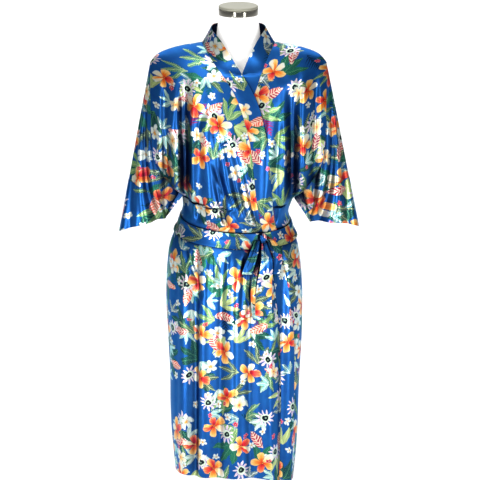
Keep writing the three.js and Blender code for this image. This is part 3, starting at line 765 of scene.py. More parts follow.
@dataclass(frozen=True)
class Scatter:
    """Places one motif in each cell of a lattice, turned and shifted by chance, and thins it into bunches."""

    cell: float
    seed: float
    shift: float = 0.2
    lean: float = 0.0
    share: float = 1.0
    bunch: float = 0.0

    def write(self, pen: Pen, cloth: Socket) -> Motif:
        """Writes the lattice.

        Args:
            pen: the pen of the material.
            cloth: the place on the cloth in millimetres.

        Returns:
            The motif's place.
        """
        grid = pen.vector("MULTIPLY", pen.turned(cloth, self.lean), (1 / self.cell, 1 / self.cell, 0.0))
        grid = pen.vector("ADD", grid, (self.seed * 0.37, self.seed * 0.61, 0.0))
        keyed = pen.vector("ADD", pen.vector("FLOOR", grid), (0.5, 0.5, self.seed))
        noise = pen.node("ShaderNodeTexWhiteNoise", {"Vector": keyed}, noise_dimensions="3D").outputs["Color"]
        centre = 0.5 * self.shift - 0.5
        shifted = pen.vector("MULTIPLY_ADD", noise, (-self.shift, -self.shift, 0), (centre, centre, 0))
        place = pen.vector("ADD", pen.vector("FRACTION", grid), shifted)
        place = pen.vector("MULTIPLY", place, (self.cell, self.cell, 0.0))
        first, second, third = pen.node("ShaderNodeSeparateColor", {0: noise}).outputs
        local = pen.turned(place, pen.times(third, math.tau))
        lot = pen.beat(first, 3.7)
        if self.bunch:
            middle = pen.vector("SUBTRACT", cloth, pen.turned(place, -self.lean))
            inputs = {"Vector": middle, "Scale": 1 / CROWD_PITCH, "Detail": 0.0}
            crowd = pen.node("ShaderNodeTexNoise", inputs).outputs["Fac"]
            lot = pen.line(crowd, -self.bunch, lot)
        printed = pen.maths("LESS_THAN", lot, self.share - 0.5 * self.bunch)
        return Motif(local, (first, second), printed)


@dataclass(frozen=True)
class Flower:
    """A printed flower: petals round a heart, each petal streaked and shaded from the heart to its edge."""

    radius: float
    petals: int
    palettes: tuple[tuple[tuple[float, tuple], ...], ...]
    petal: Petal = Petal.BROAD
    crease: tuple = (0.0, 0.0, 0.0, 1.0)
    mixed: float = 0.0
    heart: float = 0.0

    def write(self, pen: Pen, motif: Motif, below: Socket) -> Socket:
        """Lays the flower over a colour.

        Args:
            pen: the pen of the material.
            motif: where it lies.
            below: the colour underneath.

        Returns:
            The colour with the flower on it.
        """
        x, y = pen.across_and_along(motif.place)
        reach = pen.node("ShaderNodeVectorMath", {0: motif.place}, operation="LENGTH").outputs["Value"]
        turn = pen.maths("ARCTAN2", y, x)
        gap = pen.folded(pen.beat(turn, self.petals / math.tau))
        sharp, deep = self.petal.value
        swing = pen.times(pen.maths("SINE", pen.line(turn, 2.0, 1.0)), 0.1 * self.radius)
        full = pen.maths("ADD", swing, 0.9 * self.radius)
        outline = pen.line(pen.maths("POWER", gap, sharp), -deep * self.radius, full)
        along = pen.maths("DIVIDE", reach, outline)
        toned = pen.line(pen.maths("SINE", pen.times(turn, 5.0 * self.petals)), 0.07, along)
        lot = pen.times(motif.chance[0], 7.31)
        if self.mixed:
            petal = pen.maths("FLOOR", pen.times(turn, self.petals / math.tau))
            lot = pen.line(petal, self.mixed, lot)
        lot = pen.maths("FRACT", lot)
        colour = pen.ramp(toned, self.palettes[0])
        for number, stops in enumerate(self.palettes[1:], start=1):
            later = pen.maths("GREATER_THAN", lot, number / len(self.palettes))
            colour = pen.blend(later, colour, pen.ramp(toned, stops))
        outer = pen.held(pen.line(along, 4.0, -1.2))
        colour = pen.blend(pen.times(pen.maths("POWER", gap, 6.0), outer), colour, self.crease)
        mask = pen.held(pen.edge(along, 1.0, 1.6 / self.radius))
        if self.heart:
            core = self.heart * self.radius
            ring = pen.held(pen.edge(reach, 1.45 * core, 1.0))
            colour = pen.blend(ring, colour, HEART_RING)
            colour = pen.blend(pen.held(pen.edge(reach, core, 1.0)), colour, HEART_DARK)
            colour = pen.blend(pen.held(pen.edge(reach, 0.36 * core, 0.8)), colour, HEART_MIDDLE)
            mask = pen.maths("MAXIMUM", mask, ring)
        return pen.blend(pen.times(mask, motif.printed), below, colour)


@dataclass(frozen=True)
class Leaf:
    """A printed leaf, or three of them spread from one stem."""

    length: float
    width: float
    colours: tuple[tuple, ...]
    rib: tuple
    spread: float = 0.0
    stripes: float = 3.6
    band: float = 0.3

    def blade(self, pen: Pen, x: Socket, y: Socket, colour: Socket, below: Socket, lot: Socket) -> Socket:
        """Lays one blade over a colour.

        Args:
            pen: the pen of the material.
            x: the distance from the rib.
            y: the distance along the blade.
            colour: the blade's own colour.
            below: the colour underneath.
            lot: 1 where the motif is printed.

        Returns:
            The colour with the blade on it.
        """
        side = pen.maths("ABSOLUTE", x)
        swell = pen.arch(pen.held(pen.maths("DIVIDE", y, self.length)))
        room = pen.line(pen.maths("POWER", swell, 0.75), self.width, pen.times(side, -1.0))
        mask = pen.held(pen.times(room, 1.4))
        veins = pen.maths("FRACT", pen.maths("DIVIDE", pen.line(side, -0.9, y), self.stripes))
        vein = pen.times(pen.maths("LESS_THAN", veins, self.band), 0.25 + self.band)
        vein = pen.maths("MAXIMUM", vein, pen.held(pen.edge(side, 1.0, 0.7)))
        colour = pen.blend(pen.times(pen.maths("GREATER_THAN", x, 0.0), 0.3), colour, LEAF_SHADE)
        colour = pen.blend(vein, colour, self.rib)
        return pen.blend(pen.times(mask, lot), below, colour)

    def write(self, pen: Pen, motif: Motif, below: Socket) -> Socket:
        """Lays the leaves over a colour, with the same arguments and return as a flower's."""
        colour = pen.one_of(self.colours, pen.beat(motif.chance[1], 5.7))
        x, y = pen.across_and_along(pen.vector("ADD", motif.place, (0.0, self.length / 2, 0.0)))
        if self.spread:
            mirrored = pen.node("ShaderNodeCombineXYZ", {0: pen.maths("ABSOLUTE", x), 1: y}).outputs[0]
            leaning = pen.across_and_along(pen.turned(mirrored, self.spread))
            below = self.blade(pen, *leaning, colour, below, motif.printed)
        return self.blade(pen, x, y, colour, below, motif.printed)


@dataclass(frozen=True)
class Frond:
    """A printed fern frond with leaflets on both sides of its stem."""

    length: float
    width: float
    colours: tuple[tuple, ...]
    pitch: float = 6.0

    def write(self, pen: Pen, motif: Motif, below: Socket) -> Socket:
        """Lays the frond over a colour, with the same arguments and return as a flower's."""
        colour = pen.one_of(self.colours, motif.chance[1])
        x, y = pen.across_and_along(motif.place)
        side = pen.maths("ABSOLUTE", x)
        room = pen.times(pen.arch(pen.held(pen.line(y, 1 / self.length, 0.5))), self.width)
        reach = pen.maths("DIVIDE", side, pen.maths("MAXIMUM", room, 0.01))
        gap = pen.folded(pen.maths("FRACT", pen.maths("DIVIDE", pen.line(side, -0.8, y), self.pitch)))
        leaflet = pen.held(pen.times(pen.line(reach, -0.75, pen.edge(gap, 0.86, 1.0)), 6.0))
        stem = pen.held(pen.edge(side, 1.1, 0.6))
        mask = pen.times(pen.maths("MAXIMUM", leaflet, stem), pen.maths("LESS_THAN", reach, 1.0))
        return pen.blend(pen.times(mask, motif.printed), below, colour)


def palette(*rows: tuple[float, int, int, int]) -> tuple[tuple[float, tuple], ...]:
    """Gives a petal's colours from its heart to its edge, each as a place and a printed colour."""
    return tuple((place, ink(*colour)) for place, *colour in rows)


ORANGE = palette(
    (0, 120, 20, 20), (0.12, 214, 52, 30), (0.36, 240, 104, 36), (0.62, 250, 164, 66), (1, 254, 216, 140)
)
CORAL = palette(
    (0, 250, 220, 90), (0.12, 130, 14, 30), (0.4, 206, 34, 44), (0.75, 236, 92, 66), (1, 250, 176, 110)
)
CREAM = palette(
    (0, 180, 60, 40), (0.12, 236, 130, 60), (0.3, 250, 214, 140), (0.6, 240, 224, 192), (1, 222, 232, 226)
)
STARRY = palette(
    (0, 60, 60, 110), (0.4, 70, 70, 120), (0.52, 190, 160, 196), (0.7, 222, 200, 216), (1, 226, 222, 230)
)
BLOSSOM = palette(
    (0, 226, 170, 50), (0.2, 200, 130, 60), (0.34, 214, 222, 208), (0.8, 224, 234, 228), (1, 170, 204, 214)
)
BERRY = palette(
    (0, 250, 220, 170), (0.3, 170, 20, 60), (0.6, 214, 40, 84), (0.8, 238, 110, 130), (1, 250, 190, 180)
)
HEART_RING, HEART_DARK, HEART_MIDDLE = ink(206, 226, 206), ink(8, 12, 24), ink(120, 150, 130)
LEAF_SHADE = ink(8, 40, 60)
GREENS = (ink(20, 92, 66), ink(96, 152, 92), ink(10, 60, 72), ink(30, 112, 90), ink(176, 196, 124))
TEALS = (ink(120, 200, 192), ink(40, 132, 146), ink(178, 216, 206), ink(16, 84, 104), ink(140, 204, 196))
REDS = (ink(196, 36, 60), ink(226, 84, 60), ink(180, 30, 70))


@dataclass(frozen=True)
class PrintedSatin:
    """Blue satin with a loose print of garden flowers and leaves, and painted shade that darkens its creases
    and hollows.
    """

    name: str = "printed_satin"
    ground: tuple = ink(26, 92, 160)
    shade: tuple = ink(20, 64, 138)
    sheen: tuple = ink(160, 212, 250)
    # The deep navy of the painted shade in creases, fold valleys and under the sash and bow.
    painted_crevice_shade: tuple = ink(6, 12, 40)
    roughness: float = 0.36
    metallic: float = 0.82

    def motifs(self) -> list[tuple[Scatter, object]]:
        """Lists the print's layers from the ground up."""
        dusk, slate = ink(110, 30, 40), ink(90, 100, 90)
        ferns = (ink(8, 40, 72), ink(16, 84, 104), ink(10, 56, 80), ink(130, 30, 84))
        shrub = Leaf(70, 12, (ink(8, 56, 60), ink(20, 92, 72), ink(8, 40, 60)), ink(80, 150, 110), 0.7, 5.0)
        cones = Leaf(62, 13, REDS, ink(252, 230, 206), 0.0, 9.0, 0.48)
        bloom = Flower(38, 5, (ORANGE, CREAM, ORANGE, CORAL), Petal.BROAD, dusk, mixed=0.27)
        anemone = Flower(31, 11, (STARRY,), Petal.NARROW, ink(60, 60, 110), heart=0.3)
        return [
            (Scatter(118, 1, 0.3, 0.5, 0.5, 1.5), Frond(88, 25, ferns, 9.0)),
            (Scatter(101, 11, 0.3, 0.9, 0.6, 2.4), shrub),
            (Scatter(88, 2, 0.25, 1.1, 0.62, 2.0), Leaf(66, 8.0, GREENS, ink(196, 214, 150), 0.62, 4.6)),
            (Scatter(70, 3, 0.25, 0.2, 0.6, 1.6), Leaf(38, 6.5, TEALS, ink(236, 244, 232), 0.8, 3.8)),
            (Scatter(53, 4, 0.35, 0.8, 0.4, 1.0), Flower(13, 5, (BLOSSOM,), Petal.BROAD, ink(60, 80, 120))),
            (Scatter(112, 5, 0.3, 0.35, 0.5, 2.0), cones),
            (Scatter(121, 6, 0.3, 1.0, 0.66, 1.6), anemone),
            (Scatter(104, 7, 0.3, 0.65, 0.56, 2.4), bloom),
            (Scatter(96, 8, 0.4, 0.1, 0.4, 1.8), Flower(26, 5, (CREAM, BLOSSOM), Petal.BROAD, slate)),
            (Scatter(57, 9, 0.4, 0.9, 0.24, 1.4), Flower(9, 5, (BERRY,), Petal.BROAD, dusk)),
        ]

    def build(self) -> bpy.types.Material:
        """Builds the finish.

        Returns:
            The material.
        """
        material = bpy.data.materials.new(self.name)
        material.use_nodes = True
        tree = material.node_tree
        tree.nodes.clear()
        pen = Pen(tree)
        source = pen.node("ShaderNodeUVMap", uv_map="UVMap").outputs[0]
        cloth = pen.vector("MULTIPLY", source, (1 / MM, 1 / MM, 0.0))
        wobble = pen.node("ShaderNodeTexNoise", {"Vector": cloth, "Scale": WOBBLE_RATE, "Detail": 2.0})
        cloth = pen.vector("MULTIPLY_ADD", wobble.outputs["Color"], (WOBBLE, WOBBLE, 0.0), cloth)
        colour = pen.blend(wobble.outputs["Fac"], self.ground, self.shade)
        for scatter, motif in self.motifs():
            colour = motif.write(pen, scatter.write(pen, cloth), colour)
        # Painted shade: an ambient-occlusion reading darkens the colour towards deep navy in creases, fold
        # valleys and under the sash and bow.
        open_sky = pen.node("ShaderNodeAmbientOcclusion", {"Distance": PAINTED_SHADE_REACH}).outputs["AO"]
        colour = pen.blend(pen.held(pen.line(open_sky, PAINTED_SHADE_GAIN, 1 - PAINTED_SHADE_GAIN)), self.painted_crevice_shade, colour)
        surface = pen.node(
            "ShaderNodeBsdfPrincipled",
            {
                "Base Color": colour,
                "Roughness": self.roughness,
                "Metallic": self.metallic,
                "Specular IOR Level": 0.6,
                "Specular Tint": self.sheen,
            },
        )
        pen.node("ShaderNodeOutputMaterial", {0: surface.outputs[0]})
        return material


@dataclass(frozen=True)
class PlainFinish:
    """A plain finish of one colour."""

    name: str
    colour: tuple
    roughness: float
    metallic: float = 0.0
    glow: float = 0.0

    def build(self) -> bpy.types.Material:
        """Builds the finish.

        Returns:
            The material.
        """
        material = bpy.data.materials.new(self.name)
        material.use_nodes = True
        shader = material.node_tree.nodes["Principled BSDF"]
        values = {
            "Base Color": self.colour,
            "Roughness": self.roughness,
            "Metallic": self.metallic,
            "Emission Color": (1, 1, 1, 1),
            "Emission Strength": self.glow,
        }
        for name, value in values.items():
            shader.inputs[name].default_value = value
        return material


# The robe

ON_FORM = ("form_torso",)
FRONT_BELOW = Cut(
    "cloth_front_below", "front_under", "satin", 0.9, (3.1, 0.7), "draped", ON_FORM, (0.40, 1.36), 0.406
)
FRONT_OVER = Cut(
    "cloth_front_over", "front_over", "satin", 0.9, (0.0, 0.0), "draped", ON_FORM, (0.43, 1.38), 0.450
)
BACK = Cut("cloth_back", "back", "satin", 0.9, (5.3, 2.9), "draped", ON_FORM, (0.60, 1.38), 0.661)
NECKBAND = Cut(
    "cloth_neckband", "neckband", "satin_trim", 1.6, (11.3, 0.4), "stretched", ON_FORM, (0.05, 3.0)
)


def sleeve_cut(side: Side) -> Cut:
    """Says how the sleeve of a side is cut."""
    name, offset = f"sleeve_{side.name.lower()}", (7.7 + side.value, 1.3)
    return Cut(f"cloth_{name}", name, "satin", 1.0, offset, "hung", ON_FORM, (0.60, 0.36), 0.0665, closed=True)


def cuff_cut(side: Side) -> Cut:
    """Says how the cuff of a side is cut."""
    name, offset = f"cuff_{side.name.lower()}", (9.1 + side.value, 4.7)
    return Cut(f"cloth_{name}", name, "satin", 1.6, offset, "hung", ON_FORM, (0.43, 0.155), 0.035, closed=True)


@dataclass
class Robe:
    """The cut pieces of the robe."""

    satin: bpy.types.Material
    columns: int = 132
    back_columns: int = 162
    lower_rows: int = 150
    upper_rows: int = 84
    sleeve_rows: int = 84
    cuff_rows: int = 40
    band_rows: int = 70
    nape_rows: int = 90
    band_columns: int = 12
    around: int = 121
    gap: float = 0.05
    print_line: float = 60.0
    cuff_share: float = 0.7
    cuff_lap: float = 0.008
    cuff_grow: float = 0.9
    band_stand: float = 0.5
    band_swell: float = 0.7

    def lower_levels(self) -> Array:
        """Gives the levels from the hem to the underarm."""
        return np.linspace(HEM, UNDERARM, self.lower_rows)

    def upper_shares(self) -> Array:
        """Gives how far up each row over the underarm lies."""
        return crowded(np.linspace(0, 1, self.upper_rows + 1)[1:], ROW_CROWD)

    def front_points(self, side: Side, seam: str, lift: Callable[[Array, Array], Array]) -> Array:
        """Shapes a front, from its side seam and armhole to its seam with the neckband.

        Args:
            side: the half that it hangs on.
            seam: the column of the seam table.
            lift: how far it stands off the drape.

        Returns:
            The grid of points.
        """
        u = np.linspace(0, 1, self.columns)[None, :]
        level = self.lower_levels()[:, None]
        outer = side.value * (math.pi / 2 - self.gap / BODY.read("front", level))
        inner = DRAPE.angle_at(SEAMS.read(seam, level), level)
        lower_angle = mix(outer, inner, crowded(u, EDGE_CROWD))
        lower_level = np.broadcast_to(level, lower_angle.shape)
        share = self.upper_shares()[:, None]
        armhole, neck = mix(UNDERARM, SHOULDER_POINT, share), mix(UNDERARM, NECK_POINT, share)
        x = mix(side.value * (ARMHOLE.read("x", armhole) - self.gap), SEAMS.read(seam, neck), u)
        top = SHOULDER.read("level", mix(ARMHOLE.read("x", np.array(SHOULDER_POINT)), NECK_POINT_X, u))
        rise = top - mix(SHOULDER_POINT, NECK_POINT, u)
        upper_level = mix(armhole, neck, u) + rise * np.clip(share * 2 - 1, 0, 1) ** 3
        angle = np.concatenate((lower_angle, DRAPE.angle_at(x, upper_level)))
        level = np.concatenate((lower_level, upper_level))
        points = DRAPE.point(angle, level, lift(angle, level))
        points[-1, :, 1] = np.minimum(points[-1, :, 1], -self.gap)
        return points if side is Side.LEFT else points[:, ::-1]

    def back_points(self) -> Array:
        """Shapes the back, from the hem to the shoulder seams and the neck."""
        u = np.linspace(0, 1, self.back_columns)[None, :]
        level = self.lower_levels()[:, None]
        edge = math.pi / 2 - self.gap / BODY.read("front", level)
        lower_angle = mix(math.pi - edge, math.pi + edge, u)
        lower_level = np.broadcast_to(level, lower_angle.shape)
        share = self.upper_shares()[:, None]
        armhole = mix(UNDERARM, SHOULDER_POINT, share)
        x = mix(1.0, -1.0, u) * (ARMHOLE.read("x", armhole) - self.gap)
        upper_level = mix(UNDERARM, DRAPE.top(x, np.zeros(x.shape, dtype=bool)), share)
        angle = np.concatenate((lower_angle, math.pi - DRAPE.angle_at(x, upper_level)))
        level = np.concatenate((lower_level, upper_level))
        points = DRAPE.point(angle, level)
        points[-1, :, 1] = np.maximum(points[-1, :, 1], self.gap)
        return points

    def armhole_points(self, side: Side, turn: Array) -> Array:
        """Gives points of the armhole, where turn 0 is the shoulder and 0.5 the underarm."""
        share = crowded(np.abs(1 - 2 * turn), ROW_CROWD)
        level = mix(UNDERARM, SHOULDER_POINT, share)
        across = np.abs(DRAPE.angle_at(side.value * ARMHOLE.read("x", level), level))
        angle = side.value * np.where(turn <= 0.5, across, math.pi - across)
        points = DRAPE.point(angle, level)
        points[..., 0] = side.value * (ARMHOLE.read("x", level) + self.gap)
        return points

    def sleeve_points(self, end: "SleeveEnd", shares: Array, grow: float) -> tuple[Array, Array]:
        """Shapes a stretch of a sleeve, starting and ending at the underarm.

        Args:
            end: the sleeve's opening.
            shares: how far from the armhole each row lies, from the opening up.
            grow: how far it stands off the sleeve's own surface.

        Returns:
            The grid of points and their places on the flat cloth.
        """
        lap = np.linspace(0.5, 1.5, self.around)[None, :]
        turn = lap % 1.0
        share = shares[:, None]
        start = self.armhole_points(end.side, turn)
        points = mix(start, end.points(turn), share[..., None])
        height = np.zeros(np.broadcast(turn, share).shape)
        for turn0, turn1, half, first, last in SLEEVE_FOLDS.values:
            across = np.clip((turn - mix(turn0, turn1, share)) / half, -1, 1)
            height += mix(first, last, share) * smooth(share / 0.3) * np.cos(across * math.pi / 2) ** 2
        angle = turn * math.tau
        points[..., 0] += end.side.value * (0.4 * height + grow) * np.cos(angle)
        points[..., 1] -= (height + grow) * np.sin(angle)
        uv = sleeve_uv(points, end.side, np.broadcast_to(lap, points.shape[:2]))
        return (points, uv) if end.side is Side.LEFT else (points[:, ::-1], uv[:, ::-1])

    def band_points(self) -> Array:
        """Shapes the neckband, from the hem of the wrapped front round the neck to the hem below it."""
        left, right = (self.band_half(side) for side in Side)
        return np.concatenate((left, right[:-1][::-1]))

    def band_half(self, side: Side) -> Array:
        """Shapes one half of the neckband, from the hem to the middle of the back."""
        seam_name = "over" if side is Side.LEFT else "under"
        lift = DRAPE.over_lift if side is Side.LEFT else DRAPE.under_lift
        w = np.linspace(0, 1, self.band_columns)[None, :]
        upper = np.linspace(UNDERARM, CROSSING, self.band_rows)[1:]
        level = np.concatenate((self.lower_levels(), upper))[:, None]
        seam = DRAPE.angle_at(SEAMS.read(seam_name, level), level)
        reach = np.hypot(BODY.read("half", level) * np.cos(seam), BODY.read("front", level) * np.sin(seam))
        angle = seam - side.value * (w * SEAMS.read("span", level) - 1.0) / reach
        stand = self.band_stand + self.band_swell * np.sin(w * math.pi) ** 0.5
        flat = DRAPE.point(angle, np.broadcast_to(level, angle.shape), lift(angle, level) + stand)
        share = np.linspace(0, 1, self.nape_rows)[1:, None]
        high = mix(CROSSING, NECK_POINT, np.minimum(share * 2, 1))
        x = SEAMS.read(seam_name, high)
        angle = DRAPE.angle_at(x, high)
        front = DRAPE.point(angle, high, lift(angle, high) + self.band_stand)
        round_neck = math.pi * (1 - np.maximum(share, 0.5))
        x = side.value * NECK_POINT_X * np.sin(round_neck)
        nape = np.stack((x, BACK_NECK_DEPTH * np.cos(round_neck), np.full(share.shape, NECK_POINT)), axis=-1)
        start = np.where((share <= 0.5)[..., None], front, nape)
        edge = NECK_EDGES[side]
        free = np.stack([edge.read(axis, share) for axis in "xyz"], axis=-1)
        return np.concatenate((flat, mix(start, free, w[..., None])))

    def build(self) -> None:
        """Builds every cut piece of the robe."""
        under = self.front_points(Side.RIGHT, "under", DRAPE.under_lift)
        over = self.front_points(Side.LEFT, "over", DRAPE.over_lift)
        back = self.back_points()
        FRONT_BELOW.sew(under, cloth_uv(under, self.print_line), self.satin)
        FRONT_OVER.sew(over, cloth_uv(over, -self.print_line), self.satin)
        BACK.sew(back, cloth_uv(back, 0.0), self.satin)
        for end in SLEEVE_ENDS:
            upper = np.linspace(self.cuff_share, 0, self.sleeve_rows)
            sleeve_cut(end.side).sew(*self.sleeve_points(end, upper, 0.0), self.satin)
            lower = np.linspace(1, self.cuff_share - self.cuff_lap, self.cuff_rows)
            cuff_cut(end.side).sew(*self.sleeve_points(end, lower, self.cuff_grow), self.satin)
        band = self.band_points()
        NECKBAND.sew(band, cloth_uv(band), self.satin)


@dataclass(frozen=True)
class SleeveEnd:
    """The opening of a sleeve."""

    side: Side
    x: float
    half: float
    depth: float
    low: float
    slant: float
    arch: float

    def points(self, turn: Array) -> Array:
        """Gives points round the opening."""
        angle = turn * math.tau
        x = self.side.value * (self.x + self.half * np.cos(angle))
        z = self.low + self.slant * (1 - np.cos(angle)) / 2 + self.arch * np.abs(np.sin(angle))
        return np.stack((x, -self.depth * np.sin(angle), z), axis=-1)


SLEEVE_ENDS = (
    SleeveEnd(Side.LEFT, 278, 66, 46, 909, 38, 10),
    SleeveEnd(Side.RIGHT, 278, 70, 46, 922, 14, 16),
)


# The sash

WAIST = Cut(
    "sash_round_waist",
    "sash",
    "satin_trim",
    1.2,
    (0.9, 5.2),
    "stretched",
    ("cloth_front_over", "cloth_back"),
    (0.046, 0.96),
    closed=True,
)


def ribbon_cut(part: str, offset: tuple[float, float], flat: tuple[float, float]) -> Cut:
    """Says how a loop or tail of the bow is cut."""
    return Cut(f"bow_{part}", f"sash_{part}", "satin_trim", 1.0, offset, "hung", ("bow_knot",), flat)


RIBBONS = (
    (
        ribbon_cut("loop_left", (1.7, 6.1), (0.03, 0.2)),
        Table("""
            step x z off width
            0 51 908 16 14
            1 42 886 20 22
            2 33 858 21 26
            3 25 830 19 28
            4 22 814 14 28
            5 25 824 9 28
            6 33 852 9 26
            7 42 878 11 20
            8 50 896 12.5 14
        """),
    ),
    (
        ribbon_cut("loop_right", (2.9, 6.6), (0.04, 0.22)),
        Table("""
            step x z off width
            0 77 919 15.5 8
            1 88 899 20 26
            2 91 880 22.5 34
            3 90 852 23.5 38
            4 86 830 22 38
            5 83 815 16.5 36
            6 84 824 11.5 34
            7 87 852 10.5 28
            8 88 880 11 20
            9 85 905 12 8
        """),
    ),
    (
        ribbon_cut("tail_front", (4.3, 7.2), (0.048, 0.22)),
        Table("""
            step x z off width
            0 67 901 20.3 14
            1 67 880 25.5 24
            2 67 852 30 32
            3 66 822 29 38
            4 65 792 23 42
            5 65 758 18 45
            6 65 724 16 47
            7 65 692 14 48
        """),
    ),
    (
        ribbon_cut("tail_back", (6.2, 7.9), (0.03, 0.23)),
        Table("""
            step x z off width
            0 63 898 10.5 12
            1 61 882 10 14
            2 58 862 7.5 18
            3 55 832 6.5 22
            4 50 796 6.5 26
            5 47 756 7 28
            6 50 714 6.5 30
            7 54 677 6.5 30
        """),
    ),
)


@dataclass
class Sash:
    """The sash round the waist with its knot, loops and tails."""

    satin: bpy.types.Material
    width: float = 44.0
    lift: float = 4.4
    crown: float = 2.2
    across: int = 15
    along: int = 60
    around: int = 241
    knot_x: float = 66.0
    knot_z: float = 915.0
    knot_off: float = 12.2
    knot_size: tuple[float, float, float] = (11.0, 8.0, 14.0)
    knot_print: tuple[float, float] = (0.08, 0.05)
    knot_offset: float = 3.3

    def belt_points(self) -> Array:
        """Shapes the stretch round the waist, with soft creases along it."""
        angle = np.linspace(0, math.tau, self.around)[None, :]
        w = np.linspace(0, 1, self.across)[:, None]
        swell = np.sin(math.pi * w)
        wrap = WRAP_LIFT * smooth((np.cos(angle) + 0.35) / 0.4)
        crease = 0.9 * np.cos(w * math.tau * 1.5 + 2.2 * np.sin(angle * 2 + 0.6)) * swell
        crease = crease + 0.5 * np.sin(w * math.tau * 2.5 + 3 * np.sin(angle + 1.1))
        middle = np.full(angle.shape, SASH_LEVEL)
        level = middle + self.width * (w - 0.5)
        lift = wrap + self.lift + self.crown * swell + crease
        points = DRAPE.point(np.broadcast_to(angle, level.shape), level, lift, ripple=0.0)
        points[..., 2] = level - DRAPE.dip(angle, middle)
        return points

    def ribbon_points(self, way: Table) -> Array:
        """Shapes a loop or tail, with creases that fade away from the knot.

        Args:
            way: the places of its middle, how far it stands off the cloth and its width.

        Returns:
            The grid of points, from its end up to its start.
        """
        w = np.linspace(-0.5, 0.5, self.across)
        rows = []
        for place in np.linspace(0, way.values[-1, 0], self.along):
            x, z, off, width = (float(way.read(name, np.array(place))) for name in ("x", "z", "off", "width"))
            level = DRAPE.level_at(x, z)
            angle = DRAPE.angle_at(np.array(x), np.array(level))
            middle = DRAPE.point(angle, np.array(level), WRAP_LIFT + off, ripple=0.0)
            tight = 1.0 - smooth(np.array(width - 10) / 36)
            curl = 1.2 * np.cos(w * math.tau) + 1.6 * tight * np.cos(w * math.tau * 2.5 + 0.7)
            curl = curl + 0.8 * np.sin(w * 7 + place * 1.1)
            height = np.full(self.across, middle[2])
            rows.append(np.stack((middle[0] + w * width, middle[1] - curl, height), axis=-1))
        return np.array(rows[::-1])

    def knot(self) -> bpy.types.Object:
        """Shapes the knot from a ball, pressed flat and creased where the sash turns."""
        level = DRAPE.level_at(self.knot_x, self.knot_z)
        angle = DRAPE.angle_at(np.array(self.knot_x), np.array(level))
        wide, deep, high = self.knot_size
        centre = DRAPE.point(angle, np.array(level), WRAP_LIFT + self.knot_off + deep * 0.4, ripple=0.0)
        deselect()
        bpy.ops.mesh.primitive_uv_sphere_add(segments=48, ring_count=28, radius=1.0)
        piece = named("bow_knot")
        unit = read_points(piece.data)
        crease = 1 + 0.07 * np.sin(unit[:, 0] * 9 + unit[:, 2] * 3) + 0.04 * np.sin(unit[:, 2] * 14)
        place_points(piece.data, unit * crease[:, None] * np.array((wide, deep, high)) + centre)
        pick(piece)
        bpy.ops.object.shade_smooth()
        uv = piece.data.uv_layers.active.data
        raw = np.empty(len(uv) * 2)
        uv.foreach_get("uv", raw)
        uv.foreach_set("uv", (raw.reshape(-1, 2) * np.array(self.knot_print) + self.knot_offset).ravel())
        return piece

    def build(self) -> None:
        """Builds the sash, its knot, loops and tails."""
        belt = self.belt_points()
        flat = cloth_uv(belt)
        flat[..., 0] = flat[..., 0].mean(axis=0)
        WAIST.sew(belt, flat, self.satin)
        dress(self.knot(), self.satin, "sash_knot")
        for cut, way in RIBBONS:
            points = self.ribbon_points(way)
            cut.sew(points, cloth_uv(points), self.satin)


# The dress form


